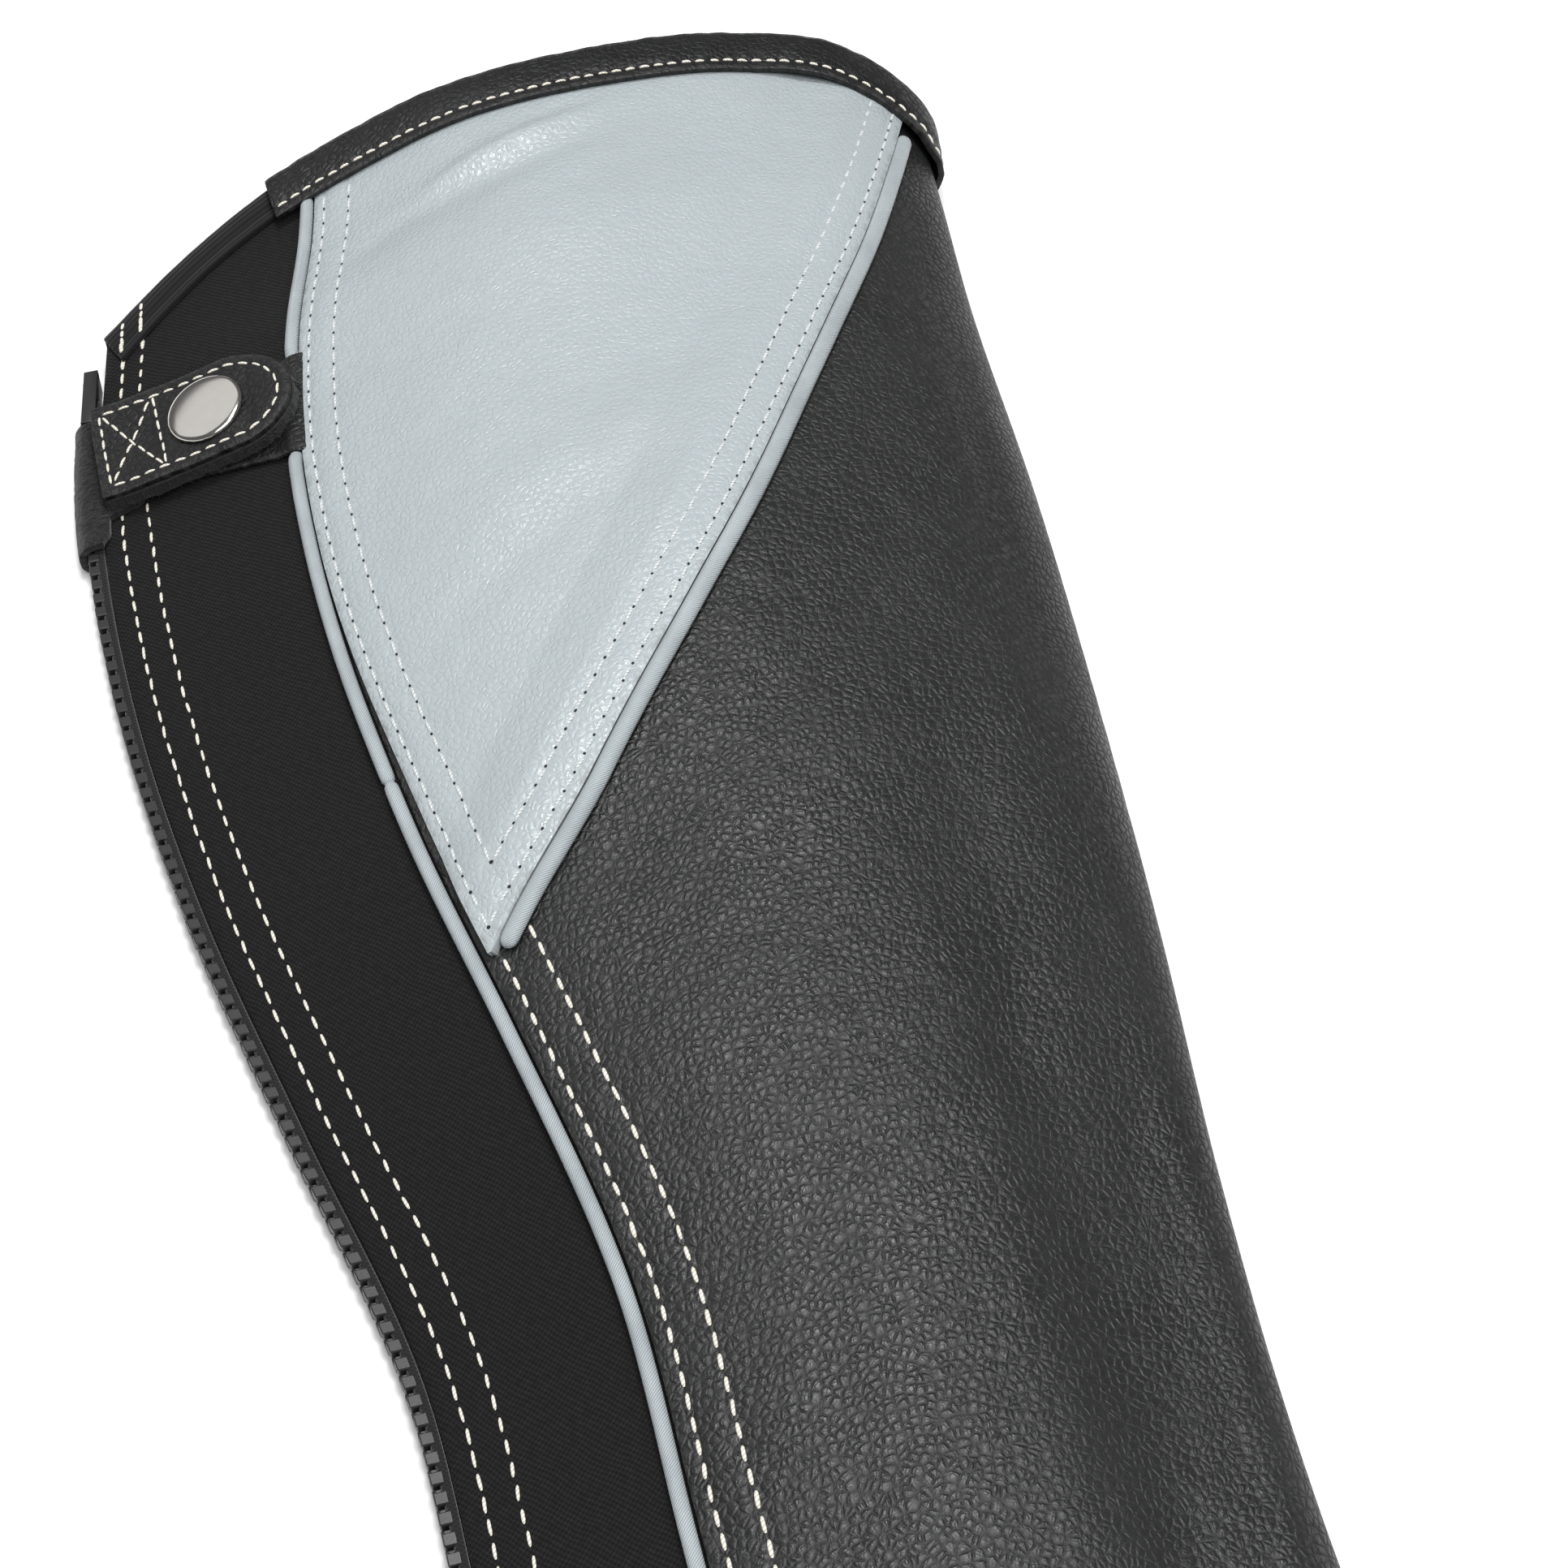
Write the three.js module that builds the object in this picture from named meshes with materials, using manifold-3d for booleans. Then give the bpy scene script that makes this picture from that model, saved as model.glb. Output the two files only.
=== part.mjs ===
// A leather half chap for one lower leg, lying on its inner side with the zip closed.
// The leg tube is laid flat: the front fold is at +X, the zip at -X, the knee end at +Y and
// the ankle end at -Y. The outer side faces up. All lengths are in millimetres, +Z is up.
import * as THREE from "three";
import { mergeVertices } from "three/addons/utils/BufferGeometryUtils.js";
import Module from "manifold-3d";

// Overall form
const BODY_HEIGHT = 404; // hem to top edge, along the front fold
const CALF_WIDTH = 178; // across the laid tube, zip to front fold
const CALF_RISE = 34; // thickness of the laid tube at the calf
const FOLD_RADIUS = 9; // underside half of the front fold
const ZIP_EDGE_HEIGHT = 7.5; // thickness of the stack of layers at the zip
const CROWN_SHARE = 0.55; // where the outer side is highest, from zip to fold
const FOLD_ROUNDNESS = 1.85; // exponent of the curve from crown to fold
const BACK_SWELL = 1.35; // exponent of the curve from zip to crown

// Top edge and hem
const BACK_DROP = 12; // the top edge is this much lower at the zip than at the fold
const TOP_ARC = 26; // the outer side arches this far above the line from zip to fold
const ARC_SQUARENESS = 4; // the arch is flat in the middle and steep at its ends
const INNER_DIP = 6; // the inner side dips this far below that line
const HEM_ARC = 8; // the hem hangs this far down in the middle of each side

// Wall and lap sizes
const LEATHER = 1.6;
const CLOTH = 1.4; // stretch cloth
const GAP = 0.35; // between sewn layers
const LAP = 13; // how far one sewn panel runs under the next
const PIPING_DIAMETER = 2.7;
const BINDING_LEATHER = 1.2;
const TOP_BINDING_WIDTH = 11;
const CLOTH_BINDING_WIDTH = 8;
const CLOTH_BINDING = 1.0;
const HEM_BINDING_WIDTH = 10;
const TAPE = 0.8;
const TAPE_WIDTH = 12;
const TEETH_DEPTH = 2.3; // how far the closed teeth stand out of the zip edge
const TEETH_HEIGHT = 4.8; // across the two meshed rows
const SLIDER_LENGTH = 13.5;
const SLIDER_HEIGHT = 6.4;
const SLIDER_DEPTH = 2.8;

// Snap tab, placed on the outer side beside the zip
const TAB_WIDTH = 24;
const TAB_LENGTH = 40;
const TAB_LEATHER = 1.6;
const TAB_BACKING = 2;
const TAB_ALONG = 0.8874; // height of the tab above the hem, share of the body height
const TAB_Y = TAB_ALONG * BODY_HEIGHT; // at its square end
const TAB_SLOPE = 0.065; // the tab drops by this share of its run towards its round end
const TAB_OVERHANG = 1; // from the zip edge back to the square end of the tab
const BASE_WIDTH = 26; // at the calf panel's edge
const BASE_NARROW = 17; // at its hidden end
const BASE_DROP = 6; // its centre line is this much lower than the tab's at the calf panel
const BASE_CLIMB = 3; // and climbs by this towards its hidden end
const LOOP_LEATHER = 1.4; // felt loop that carries the tab round the zip
const LOOP_REACH = 9; // loop leg under the tab
const LOOP_SHORT = 2.6; // the same leg below the tab
const LOOP_RISE = 0.172; // the leg climbs with the cloth, mm per mm
const LOOP_DROP = 8; // the loop reaches this much lower than the tab
const SNAP_RADIUS = 8;
const SNAP_RISE = 1.8;
const SNAP_FROM_END = 23.6; // snap centre from the tab's square end
const POST_RADIUS = 2.2;

// Sections of the laid tube. along is a share of BODY_HEIGHT, back and front are shares of
// CALF_WIDTH from the lengthwise axis, and rise is a share of CALF_RISE.
const SECTIONS = [
  { along: 0.0, back: -0.399, front: 0.354, rise: 0.74 },
  { along: 0.15, back: -0.388, front: 0.331, rise: 0.72 },
  { along: 0.26, back: -0.385, front: 0.341, rise: 0.76 },
  { along: 0.37, back: -0.389, front: 0.368, rise: 0.82 },
  { along: 0.495, back: -0.444, front: 0.409, rise: 0.9 },
  { along: 0.62, back: -0.4955, front: 0.4427, rise: 0.97 },
  { along: 0.745, back: -0.5213, front: 0.4708, rise: 1.0 },
  { along: 0.866, back: -0.514, front: 0.4888, rise: 0.98 },
  { along: 1.0, back: -0.461, front: 0.5197, rise: 0.92 },
];

// Seams. along is a share of BODY_HEIGHT, across a share of one side's girth: from the zip
// on the outer side, and from the front fold on the inner side.
const BACK_SEAM = [
  { along: 0.0, across: 0.265 },
  { along: 0.3, across: 0.264 },
  { along: 0.45, across: 0.256 },
  { along: 0.6, across: 0.236 },
  { along: 0.75, across: 0.224 },
  { along: 0.9, across: 0.233 },
  { along: 1.02, across: 0.256 },
];
const CALF_SEAM = [
  { along: 0.53, across: 0.258 },
  { along: 0.6, across: 0.42 },
  { along: 0.7, across: 0.6 },
  { along: 0.8, across: 0.735 },
  { along: 0.9, across: 0.855 },
  { along: 1.02, across: 0.968 },
];
const INNER_SEAM = [
  { along: 0.0, across: 0.22 },
  { along: 0.3, across: 0.2 },
  { along: 0.6, across: 0.165 },
  { along: 1.0, across: 0.15 },
];
const PIPING_JOINT = 0.636; // along, where the calf piping meets the back piping
const TOP_BINDING_START = 0.2; // across, where leather binding takes over from cloth binding

// Soft dents of the outer side. across and along are shares, depth a share of CALF_RISE,
// and the reaches are shares of the width and of BODY_HEIGHT.
const DENTS = [
  { across: 0.3, along: 0.985, depth: 0.06, reachAcross: 0.12, reachAlong: 0.045 },
  { across: 0.55, along: 0.93, depth: -0.04, reachAcross: 0.14, reachAlong: 0.06 },
  { across: 0.8, along: 0.33, depth: 0.085, reachAcross: 0.07, reachAlong: 0.27 },
  { across: 0.45, along: 0.56, depth: 0.05, reachAcross: 0.09, reachAlong: 0.06 },
  { across: 0.62, along: 0.7, depth: -0.03, reachAcross: 0.08, reachAlong: 0.1 },
];

// Depths below the outer face of the leather, positive outwards
const CLOTH_TOP = -LEATHER - GAP;
const CLOTH_BOTTOM = CLOTH_TOP - CLOTH;
const TAPE_TOP = CLOTH_BOTTOM - GAP;
const BINDING_STAND = GAP + BINDING_LEATHER; // a binding stands this proud of the leather

const wasm = await Module();
wasm.setup();

const clamp = (value, low, high) => Math.min(high, Math.max(low, value));
const lerp = (a, b, share) => a + (b - a) * share;

// Straight lines between the rows of a table.
function between(rows, key, column, at) {
  const last = rows.length - 2;
  let i = 0;
  while (i < last && at > rows[i + 1][key]) i += 1;
  const share = (at - rows[i][key]) / (rows[i + 1][key] - rows[i][key]);
  return lerp(rows[i][column], rows[i + 1][column], clamp(share, 0, 1));
}

// A smooth curve through the rows of a table, straight beyond its ends.
function smooth(rows, column, at) {
  const slope = (i) => {
    const a = rows[Math.max(0, i - 1)];
    const b = rows[Math.min(rows.length - 1, i + 1)];
    return (b[column] - a[column]) / (b.along - a.along);
  };
  const end = rows.length - 1;
  if (at <= rows[0].along) return rows[0][column] + slope(0) * (at - rows[0].along);
  if (at >= rows[end].along) return rows[end][column] + slope(end) * (at - rows[end].along);
  let i = 0;
  while (at > rows[i + 1].along) i += 1;
  const step = rows[i + 1].along - rows[i].along;
  const t = (at - rows[i].along) / step;
  const t2 = t * t;
  const t3 = t2 * t;
  return (
    (2 * t3 - 3 * t2 + 1) * rows[i][column] +
    (t3 - 2 * t2 + t) * step * slope(i) +
    (3 * t2 - 2 * t3) * rows[i + 1][column] +
    (t3 - t2) * step * slope(i + 1)
  );
}

// The tube lifts off the floor near its ends by what the bindings stand proud.
const LIFT_FULL = 0.055; // share of BODY_HEIGHT from an end
const LIFT_NONE = 0.13;
function endLift(y) {
  const fromEnd = Math.min(y, BODY_HEIGHT - y) / BODY_HEIGHT;
  const share = clamp((LIFT_NONE - fromEnd) / (LIFT_NONE - LIFT_FULL), 0, 1);
  return BINDING_STAND * share * share * (3 - 2 * share);
}

// The outline of the tube at height y: the outer side from zip to fold, then the inner side
// from fold to zip, each as points with their distance along the side.
const SIDE_STEPS = 32;
const FOLD_STEPS = 12;
function outlineAt(y) {
  const along = y / BODY_HEIGHT;
  const back = smooth(SECTIONS, "back", along) * CALF_WIDTH;
  const front = smooth(SECTIONS, "front", along) * CALF_WIDTH;
  const rise = smooth(SECTIONS, "rise", along) * CALF_RISE;
  const width = front - back;
  const lift = endLift(y);
  const outer = [];
  for (let i = 0; i <= SIDE_STEPS; i += 1) {
    const swell = Math.sin((Math.PI / 2) * (i / SIDE_STEPS)) ** BACK_SWELL;
    outer.push([
      back + (i / SIDE_STEPS) * CROWN_SHARE * width,
      ZIP_EDGE_HEIGHT + (rise - ZIP_EDGE_HEIGHT) * swell,
    ]);
  }
  for (let i = 1; i <= SIDE_STEPS; i += 1) {
    const angle = (Math.PI / 2) * (i / SIDE_STEPS);
    const reach = Math.sin(angle) ** (2 / FOLD_ROUNDNESS);
    const fall = Math.max(0, Math.cos(angle)) ** (2 / FOLD_ROUNDNESS);
    outer.push([
      back + (CROWN_SHARE + (1 - CROWN_SHARE) * reach) * width,
      FOLD_RADIUS + (rise - FOLD_RADIUS) * fall,
    ]);
  }
  for (const point of outer) {
    const across = (point[0] - back) / width;
    for (const dent of DENTS) {
      const u = (across - dent.across) / dent.reachAcross;
      const v = (along - dent.along) / dent.reachAlong;
      point[1] -= dent.depth * CALF_RISE * Math.exp(-u * u - v * v);
    }
  }
  const inner = [[front, FOLD_RADIUS]];
  for (let i = 1; i <= FOLD_STEPS; i += 1) {
    const angle = (Math.PI / 2) * (i / FOLD_STEPS);
    inner.push([
      front - FOLD_RADIUS * (1 - Math.cos(angle)),
      FOLD_RADIUS * (1 - Math.sin(angle)),
    ]);
  }
  inner.push([back, 0]);
  return { outer: measured(outer, lift), inner: measured(inner, lift), back, front };
}

function measured(points, lift) {
  let run = 0;
  return points.map(([x, z], i) => {
    if (i > 0) run += Math.hypot(x - points[i - 1][0], z - points[i - 1][1]);
    return { x, z: z + lift, run };
  });
}

const girth = (side) => side[side.length - 1].run;

function pointOn(side, share) {
  const run = share * girth(side);
  return { x: between(side, "run", "x", run), z: between(side, "run", "z", run) };
}

// A point of the leather's outer face. across runs from 0 at the zip, over the outer side to
// 1 at the front fold, and back over the inner side to 2 at the zip.
function skinPoint(across, y) {
  const outline = outlineAt(y);
  const on = across <= 1 ? pointOn(outline.outer, across) : pointOn(outline.inner, across - 1);
  return new THREE.Vector3(on.x, y, on.z);
}

// The same, moved off the leather along its outward normal.
const NORMAL_STEP_ACROSS = 0.006;
const NORMAL_STEP_Y = 1.5;
function skinNormal(across, y) {
  const a = skinPoint(clamp(across - NORMAL_STEP_ACROSS, 0, 2), y);
  const b = skinPoint(clamp(across + NORMAL_STEP_ACROSS, 0, 2), y);
  const c = skinPoint(across, y - NORMAL_STEP_Y);
  const d = skinPoint(across, y + NORMAL_STEP_Y);
  return b.sub(a).cross(d.sub(c)).normalize();
}
function skinAt(across, y, offset = 0) {
  return skinPoint(across, y).addScaledVector(skinNormal(across, y), offset);
}

const sideGirth = (across, y) => {
  const outline = outlineAt(y);
  return girth(across <= 1 ? outline.outer : outline.inner);
};

// across moved sideways by a real distance.
const shifted = (across, y, distance) => across + distance / sideGirth(across, y);

// Where a plan position x lies across the outer side.
function acrossAt(x, y) {
  const { outer } = outlineAt(y);
  return between(outer, "x", "run", x) / girth(outer);
}

const zipX = (y) => outlineAt(y).back;

function topY(across) {
  const share = across <= 1 ? across : 2 - across;
  const line = BODY_HEIGHT - BACK_DROP * (1 - share);
  if (across > 1) return line - INNER_DIP * Math.sin(Math.PI * share);
  return line + TOP_ARC * (1 - Math.abs(2 * share - 1) ** ARC_SQUARENESS);
}

function hemY(across) {
  const share = across <= 1 ? across : 2 - across;
  return -HEM_ARC * Math.sin(Math.PI * share) ** 2;
}

const heightAt = (across, share) => lerp(hemY(across), topY(across), share);

// Where a line that is given by height crosses the row at a share of the local height.
const SEAM_ROUNDS = 8;
function onRow(line, share) {
  let across = line(BODY_HEIGHT * share);
  for (let i = 0; i < SEAM_ROUNDS; i += 1) across = line(heightAt(across, share));
  return across;
}

const backSeam = (y) => smooth(BACK_SEAM, "across", y / BODY_HEIGHT);
const calfSeam = (y) => smooth(CALF_SEAM, "across", y / BODY_HEIGHT);
const innerSeam = (y) => 1 + smooth(INNER_SEAM, "across", y / BODY_HEIGHT);
// The main leather's upper left edge, under the calf panel.
const mainEdge = (y) => Math.max(backSeam(y), shifted(calfSeam(y), y, -LAP));
const CALF_TIP = CALF_SEAM[0].along * BODY_HEIGHT;

// Solids

// One closed body through a list of rings. Its ends are closed by the triangles given for
// one ring, and all faces are turned outwards.
function loft(rings, capTriangles, endless = false) {
  const size = rings[0].length;
  const positions = rings.flat().flatMap((p) => [p.x, p.y, p.z]);
  const index = [];
  const spans = endless ? rings.length : rings.length - 1;
  for (let r = 0; r < spans; r += 1) {
    const next = (r + 1) % rings.length;
    for (let i = 0; i < size; i += 1) {
      const j = (i + 1) % size;
      const [a, b, c, d] = [r * size + i, r * size + j, next * size + j, next * size + i];
      index.push(a, b, c, a, c, d);
    }
  }
  if (!endless) {
    const last = (rings.length - 1) * size;
    for (const [a, b, c] of capTriangles) {
      index.push(c, b, a);
      index.push(last + a, last + b, last + c);
    }
  }
  const geometry = new THREE.BufferGeometry();
  geometry.setAttribute("position", new THREE.Float32BufferAttribute(positions, 3));
  geometry.setIndex(index);
  return facingOut(geometry);
}

function facingOut(geometry) {
  const at = geometry.getAttribute("position");
  const index = geometry.getIndex().array;
  const [a, b, c] = [new THREE.Vector3(), new THREE.Vector3(), new THREE.Vector3()];
  let volume = 0;
  for (let i = 0; i < index.length; i += 3) {
    a.fromBufferAttribute(at, index[i]);
    b.fromBufferAttribute(at, index[i + 1]);
    c.fromBufferAttribute(at, index[i + 2]);
    volume += a.dot(b.cross(c));
  }
  if (volume < 0) {
    for (let i = 0; i < index.length; i += 3) {
      [index[i + 1], index[i + 2]] = [index[i + 2], index[i + 1]];
    }
  }
  geometry.computeVertexNormals();
  return geometry;
}

// End triangles of a flat strip: its outer points from left to right, then its inner points
// from right to left.
function stripCap(columns) {
  const triangles = [];
  for (let i = 0; i < columns; i += 1) {
    const [a, b] = [i, i + 1];
    const [c, d] = [2 * columns - i, 2 * columns + 1 - i];
    triangles.push([a, b, c], [a, c, d]);
  }
  return triangles;
}

// A sewn panel: a thin wall over a grid. place(column, row) gives the position across and y
// of a grid point, and face(across, y) its outer and inner offsets from the skin.
function wall(columns, rows, place, face) {
  const rings = [];
  for (let row = 0; row <= rows; row += 1) {
    const outer = [];
    const inner = [];
    for (let column = 0; column <= columns; column += 1) {
      const { across, y } = place(column / columns, row / rows);
      const { top, bottom } = face(across, y);
      outer.push(skinAt(across, y, top));
      inner.unshift(skinAt(across, y, bottom));
    }
    rings.push([...outer, ...inner]);
  }
  return loft(rings, stripCap(columns));
}

// A strip bent round the edge of the tube. The profile's points have in, the distance from
// the edge into the panel, and off, the offset from the skin.
function edgeBinding(stations, edge, direction, profileAt) {
  const rings = stations.map((across) => {
    const edgeY = edge(across);
    const step = 0.5 / sideGirth(across, edgeY);
    const rise = edge(across + step) - edge(across - step);
    const run = (step * 2) * sideGirth(across, edgeY);
    const slope = Math.atan2(rise, run) * 0.6; // leans with the edge, less at steep ends
    return profileAt(across).map((p) => {
      const y = edgeY - direction * p.in * Math.cos(slope);
      const moved = across + (direction * p.in * Math.sin(slope)) / sideGirth(across, edgeY);
      return skinAt(moved, y, p.off);
    });
  });
  return loft(rings, profileCap(profileAt(stations[0]).map((p) => [p.in, p.off])));
}

// End triangles of any profile, in the order of its points.
function profileCap(profile) {
  const flat = profile.map(([x, z]) => new THREE.Vector2(x, z));
  const triangles = THREE.ShapeUtils.triangulateShape(flat, []);
  if (!THREE.ShapeUtils.isClockWise(flat)) return triangles;
  return triangles.map(([a, b, c]) => [c, b, a]);
}

// A U of even thickness round a stack that lies between two offsets.
function bindingProfile(width, thickness, stackTop, stackBottom) {
  const top = stackTop + GAP;
  const bottom = stackBottom - GAP;
  const beyond = -GAP;
  const round = thickness * 0.55;
  return [
    { in: width, off: top },
    { in: beyond, off: top },
    { in: beyond, off: bottom },
    { in: width, off: bottom },
    { in: width, off: bottom - thickness },
    { in: beyond - round * 0.4, off: bottom - thickness },
    { in: beyond - thickness, off: bottom - thickness + round },
    { in: beyond - thickness, off: top + thickness - round },
    { in: beyond - round * 0.4, off: top + thickness },
    { in: width, off: top + thickness },
  ];
}

// A round cord that lies beside a seam on the layer below.
const PIPING_SIDES = 8;
function piping(rows, fromY, toY, centre, offset) {
  const radius = PIPING_DIAMETER / 2;
  const path = [];
  for (let i = 0; i <= rows; i += 1) {
    const y = lerp(fromY, toY, i / rows);
    path.push({ across: centre(y), y });
  }
  const rings = path.map((p, i) => {
    const middle = skinAt(p.across, p.y, offset);
    const a = path[Math.max(0, i - 1)];
    const b = path[Math.min(rows, i + 1)];
    const along = skinAt(b.across, b.y, offset).sub(skinAt(a.across, a.y, offset)).normalize();
    const up = skinNormal(p.across, p.y);
    const side = along.clone().cross(up).normalize();
    const ring = [];
    for (let k = 0; k < PIPING_SIDES; k += 1) {
      const angle = (2 * Math.PI * (k + 0.5)) / PIPING_SIDES;
      ring.push(
        middle
          .clone()
          .addScaledVector(side, radius * Math.cos(angle))
          .addScaledVector(up, radius * Math.sin(angle)),
      );
    }
    return ring;
  });
  return loft(rings, fan(PIPING_SIDES));
}

function fan(size) {
  const triangles = [];
  for (let i = 1; i < size - 1; i += 1) triangles.push([0, i, i + 1]);
  return triangles;
}

// Materials

const finish = (color, roughness, metalness = 0) =>
  new THREE.MeshStandardMaterial({ color, roughness, metalness });
const blackLeather = finish(0x1d1d1f, 0.5);
const greyLeather = finish(0xb9c0c4, 0.42);
const greyPiping = finish(0xb4b8bb, 0.5);
const blackCloth = finish(0x17171a, 0.85);
const blackFelt = finish(0x151516, 0.95);
const blackTape = finish(0x1a1a1c, 0.8);
const blackPlastic = finish(0x202023, 0.4);
const polishedMetal = finish(0xdedbd6, 0.12, 1);

const chap = new THREE.Group();
function add(name, geometry, material) {
  const mesh = new THREE.Mesh(geometry, material);
  mesh.name = name;
  chap.add(mesh);
  return mesh;
}

// Panels

const PANEL_ROWS = 26;

// Main leather: from the back seam over the front fold to the inner seam.
function mainPanel() {
  const foldReach = 0.09; // girth share on each side of the fold that the dense columns cover
  const spans = [8, 3, 4, 2]; // columns up to the fold, on each side of it, and on the floor
  const columns = spans.reduce((a, b) => a + b);
  const place = (u, share) => {
    const left = onRow(mainEdge, share);
    const marks = [left, Math.max(left + 0.015, 1 - foldReach), 1, 1 + foldReach];
    marks.push(onRow(innerSeam, share));
    let column = Math.round(u * columns);
    let span = 0;
    while (span < spans.length - 1 && column > spans[span]) {
      column -= spans[span];
      span += 1;
    }
    const across = lerp(marks[span], marks[span + 1], column / spans[span]);
    return { across, y: heightAt(across, share) };
  };
  return wall(columns, PANEL_ROWS, place, () => ({ top: 0, bottom: -LEATHER }));
}

// Inner leather: lies on the floor, from under the main leather's edge to the zip.
const UNDER_SEAM_RAMP = 8; // over this run it comes down from the lap to the floor
function innerPanel() {
  const lapColumns = [0, 0.5, 1];
  const columns = 7;
  const place = (u, share) => {
    const seam = onRow(innerSeam, share);
    const y0 = heightAt(seam, share);
    const start = shifted(seam, y0, -LAP);
    const lapEnd = shifted(seam, y0, 1);
    const rampEnd = shifted(seam, y0, 1 + UNDER_SEAM_RAMP);
    const end = shifted(1.999, y0, -GAP);
    const column = Math.round(u * columns);
    let across;
    if (column < lapColumns.length) across = lerp(start, lapEnd, lapColumns[column]);
    else {
      const rest = columns - lapColumns.length;
      across = lerp(rampEnd, end, (column - lapColumns.length) / rest);
    }
    return { across, y: heightAt(across, share) };
  };
  const face = (across, y) => {
    const beyond = (across - innerSeam(y)) * sideGirth(across, y) - 1;
    const depth = (LEATHER + GAP) * clamp(1 - beyond / UNDER_SEAM_RAMP, 0, 1);
    return { top: -depth, bottom: -depth - LEATHER };
  };
  return wall(columns, PANEL_ROWS, place, face);
}

// Calf panel: pale leather, a long triangle that is lapped over the main leather in front
// and over the stretch cloth behind.
const CALF_ROWS = 15;
const CALF_CLEAR = 12; // run over which it comes down from the main leather's edge
function calfLift(across, y) {
  const beyond = (mainEdge(y) - across) * sideGirth(across, y) - 1;
  return (LEATHER + GAP) * clamp(1 - beyond / CALF_CLEAR, 0, 1);
}
function calfPanel() {
  const frontSteps = [0, 4.5, 9, 13.5, 20, 28]; // columns at these distances from the edge
  const columns = 12;
  const lowest = (CALF_TIP - hemY(CALF_SEAM[0].across)) / (topY(0.25) - hemY(0.25));
  const place = (u, share) => {
    const row = lerp(lowest, 1, share);
    const right = onRow(calfSeam, row);
    const left = Math.min(onRow(backSeam, row), right - 0.008);
    const width = (right - left) * sideGirth(right, heightAt(right, row));
    const column = Math.round((1 - u) * columns);
    const fixed = frontSteps.length - 1;
    const step = (i) => Math.min(frontSteps[i], (width * i) / columns);
    const distance =
      column <= fixed
        ? step(column)
        : lerp(step(fixed), width, (column - fixed) / (columns - fixed));
    const across = right - ((right - left) * distance) / width;
    return { across, y: heightAt(across, row) };
  };
  const face = (across, y) => {
    const top = calfLift(across, y);
    return { top, bottom: top - LEATHER };
  };
  return wall(columns, CALF_ROWS, place, face);
}

// Stretch cloth between the zip and the back seam.
function stretchPanel() {
  const place = (u, share) => {
    const seam = onRow(backSeam, share);
    const y0 = heightAt(seam, share);
    const across = lerp(shifted(0, y0, GAP), shifted(seam, y0, LAP), u);
    return { across, y: heightAt(across, share) };
  };
  return wall(7, PANEL_ROWS, place, () => ({ top: CLOTH_TOP, bottom: CLOTH_BOTTOM }));
}

add("main_panel", mainPanel(), blackLeather);
add("inner_panel", innerPanel(), blackLeather);
add("calf_panel", calfPanel(), greyLeather);
add("stretch_panel", stretchPanel(), blackCloth);

// Piping: it shows beside the leather's edge, and lies on the layer below.

const PIPING_OFFSET = PIPING_DIAMETER / 2 + GAP;
// A seam moved sideways, square to its own run.
function beside(seam, distance) {
  return (y) => {
    const lean = (sideGirth(0.5, y) * (seam(y + 1) - seam(y - 1))) / 2;
    return shifted(seam(y), y, distance * Math.hypot(1, lean));
  };
}
const backPipingLine = beside(backSeam, -PIPING_OFFSET);
const calfPipingLine = beside(calfSeam, PIPING_OFFSET);
const topOfPiping = (line) => {
  let y = BODY_HEIGHT;
  for (let i = 0; i < SEAM_ROUNDS; i += 1) y = topY(line(y)) - TOP_BINDING_WIDTH - 3 * GAP;
  return y;
};
const FRONT_PIPING_STOP = 5; // shorter where the binding leans round the top corner
const jointY = PIPING_JOINT * BODY_HEIGHT;
const baseY = TAB_Y - BASE_DROP;
const hemBindingTop = HEM_BINDING_WIDTH + GAP;
const backOffset = CLOTH_TOP + PIPING_OFFSET;

add(
  "back_piping",
  piping(22, hemBindingTop, jointY - GAP / 2, backPipingLine, backOffset),
  greyPiping,
);
add(
  "calf_back_piping_lower",
  piping(8, jointY + GAP / 2, baseY - BASE_WIDTH / 2 - GAP, backPipingLine, backOffset),
  greyPiping,
);
add(
  "calf_back_piping_upper",
  piping(4, baseY + BASE_WIDTH / 2 + GAP, topOfPiping(backPipingLine), backPipingLine, backOffset),
  greyPiping,
);
add(
  "calf_front_piping",
  piping(
    16,
    CALF_TIP,
    topOfPiping(calfPipingLine) - FRONT_PIPING_STOP,
    calfPipingLine,
    PIPING_OFFSET,
  ),
  greyPiping,
);

// Edge bindings. Each stack table gives the outer and inner offsets of the layers that the
// binding closes round, by position across.

const innerEdgeEnd = 1.985; // the inner side's bindings stop here, short of the zip
const TOP_STACK = [
  { across: 0.2, outer: 0, inner: CLOTH_BOTTOM },
  { across: 0.335, outer: 0, inner: CLOTH_BOTTOM },
  { across: 0.37, outer: 0, inner: -LEATHER },
  { across: 0.78, outer: 0, inner: -LEATHER },
  { across: 0.86, outer: LEATHER + GAP, inner: -LEATHER },
  { across: 0.985, outer: LEATHER + GAP, inner: -LEATHER },
  { across: 1.03, outer: 0, inner: -LEATHER },
  { across: 1.06, outer: 0, inner: CLOTH_TOP - LEATHER },
  { across: 1.18, outer: 0, inner: CLOTH_TOP - LEATHER },
  { across: 1.22, outer: 0, inner: -LEATHER },
  { across: 2, outer: 0, inner: -LEATHER },
];
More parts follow.
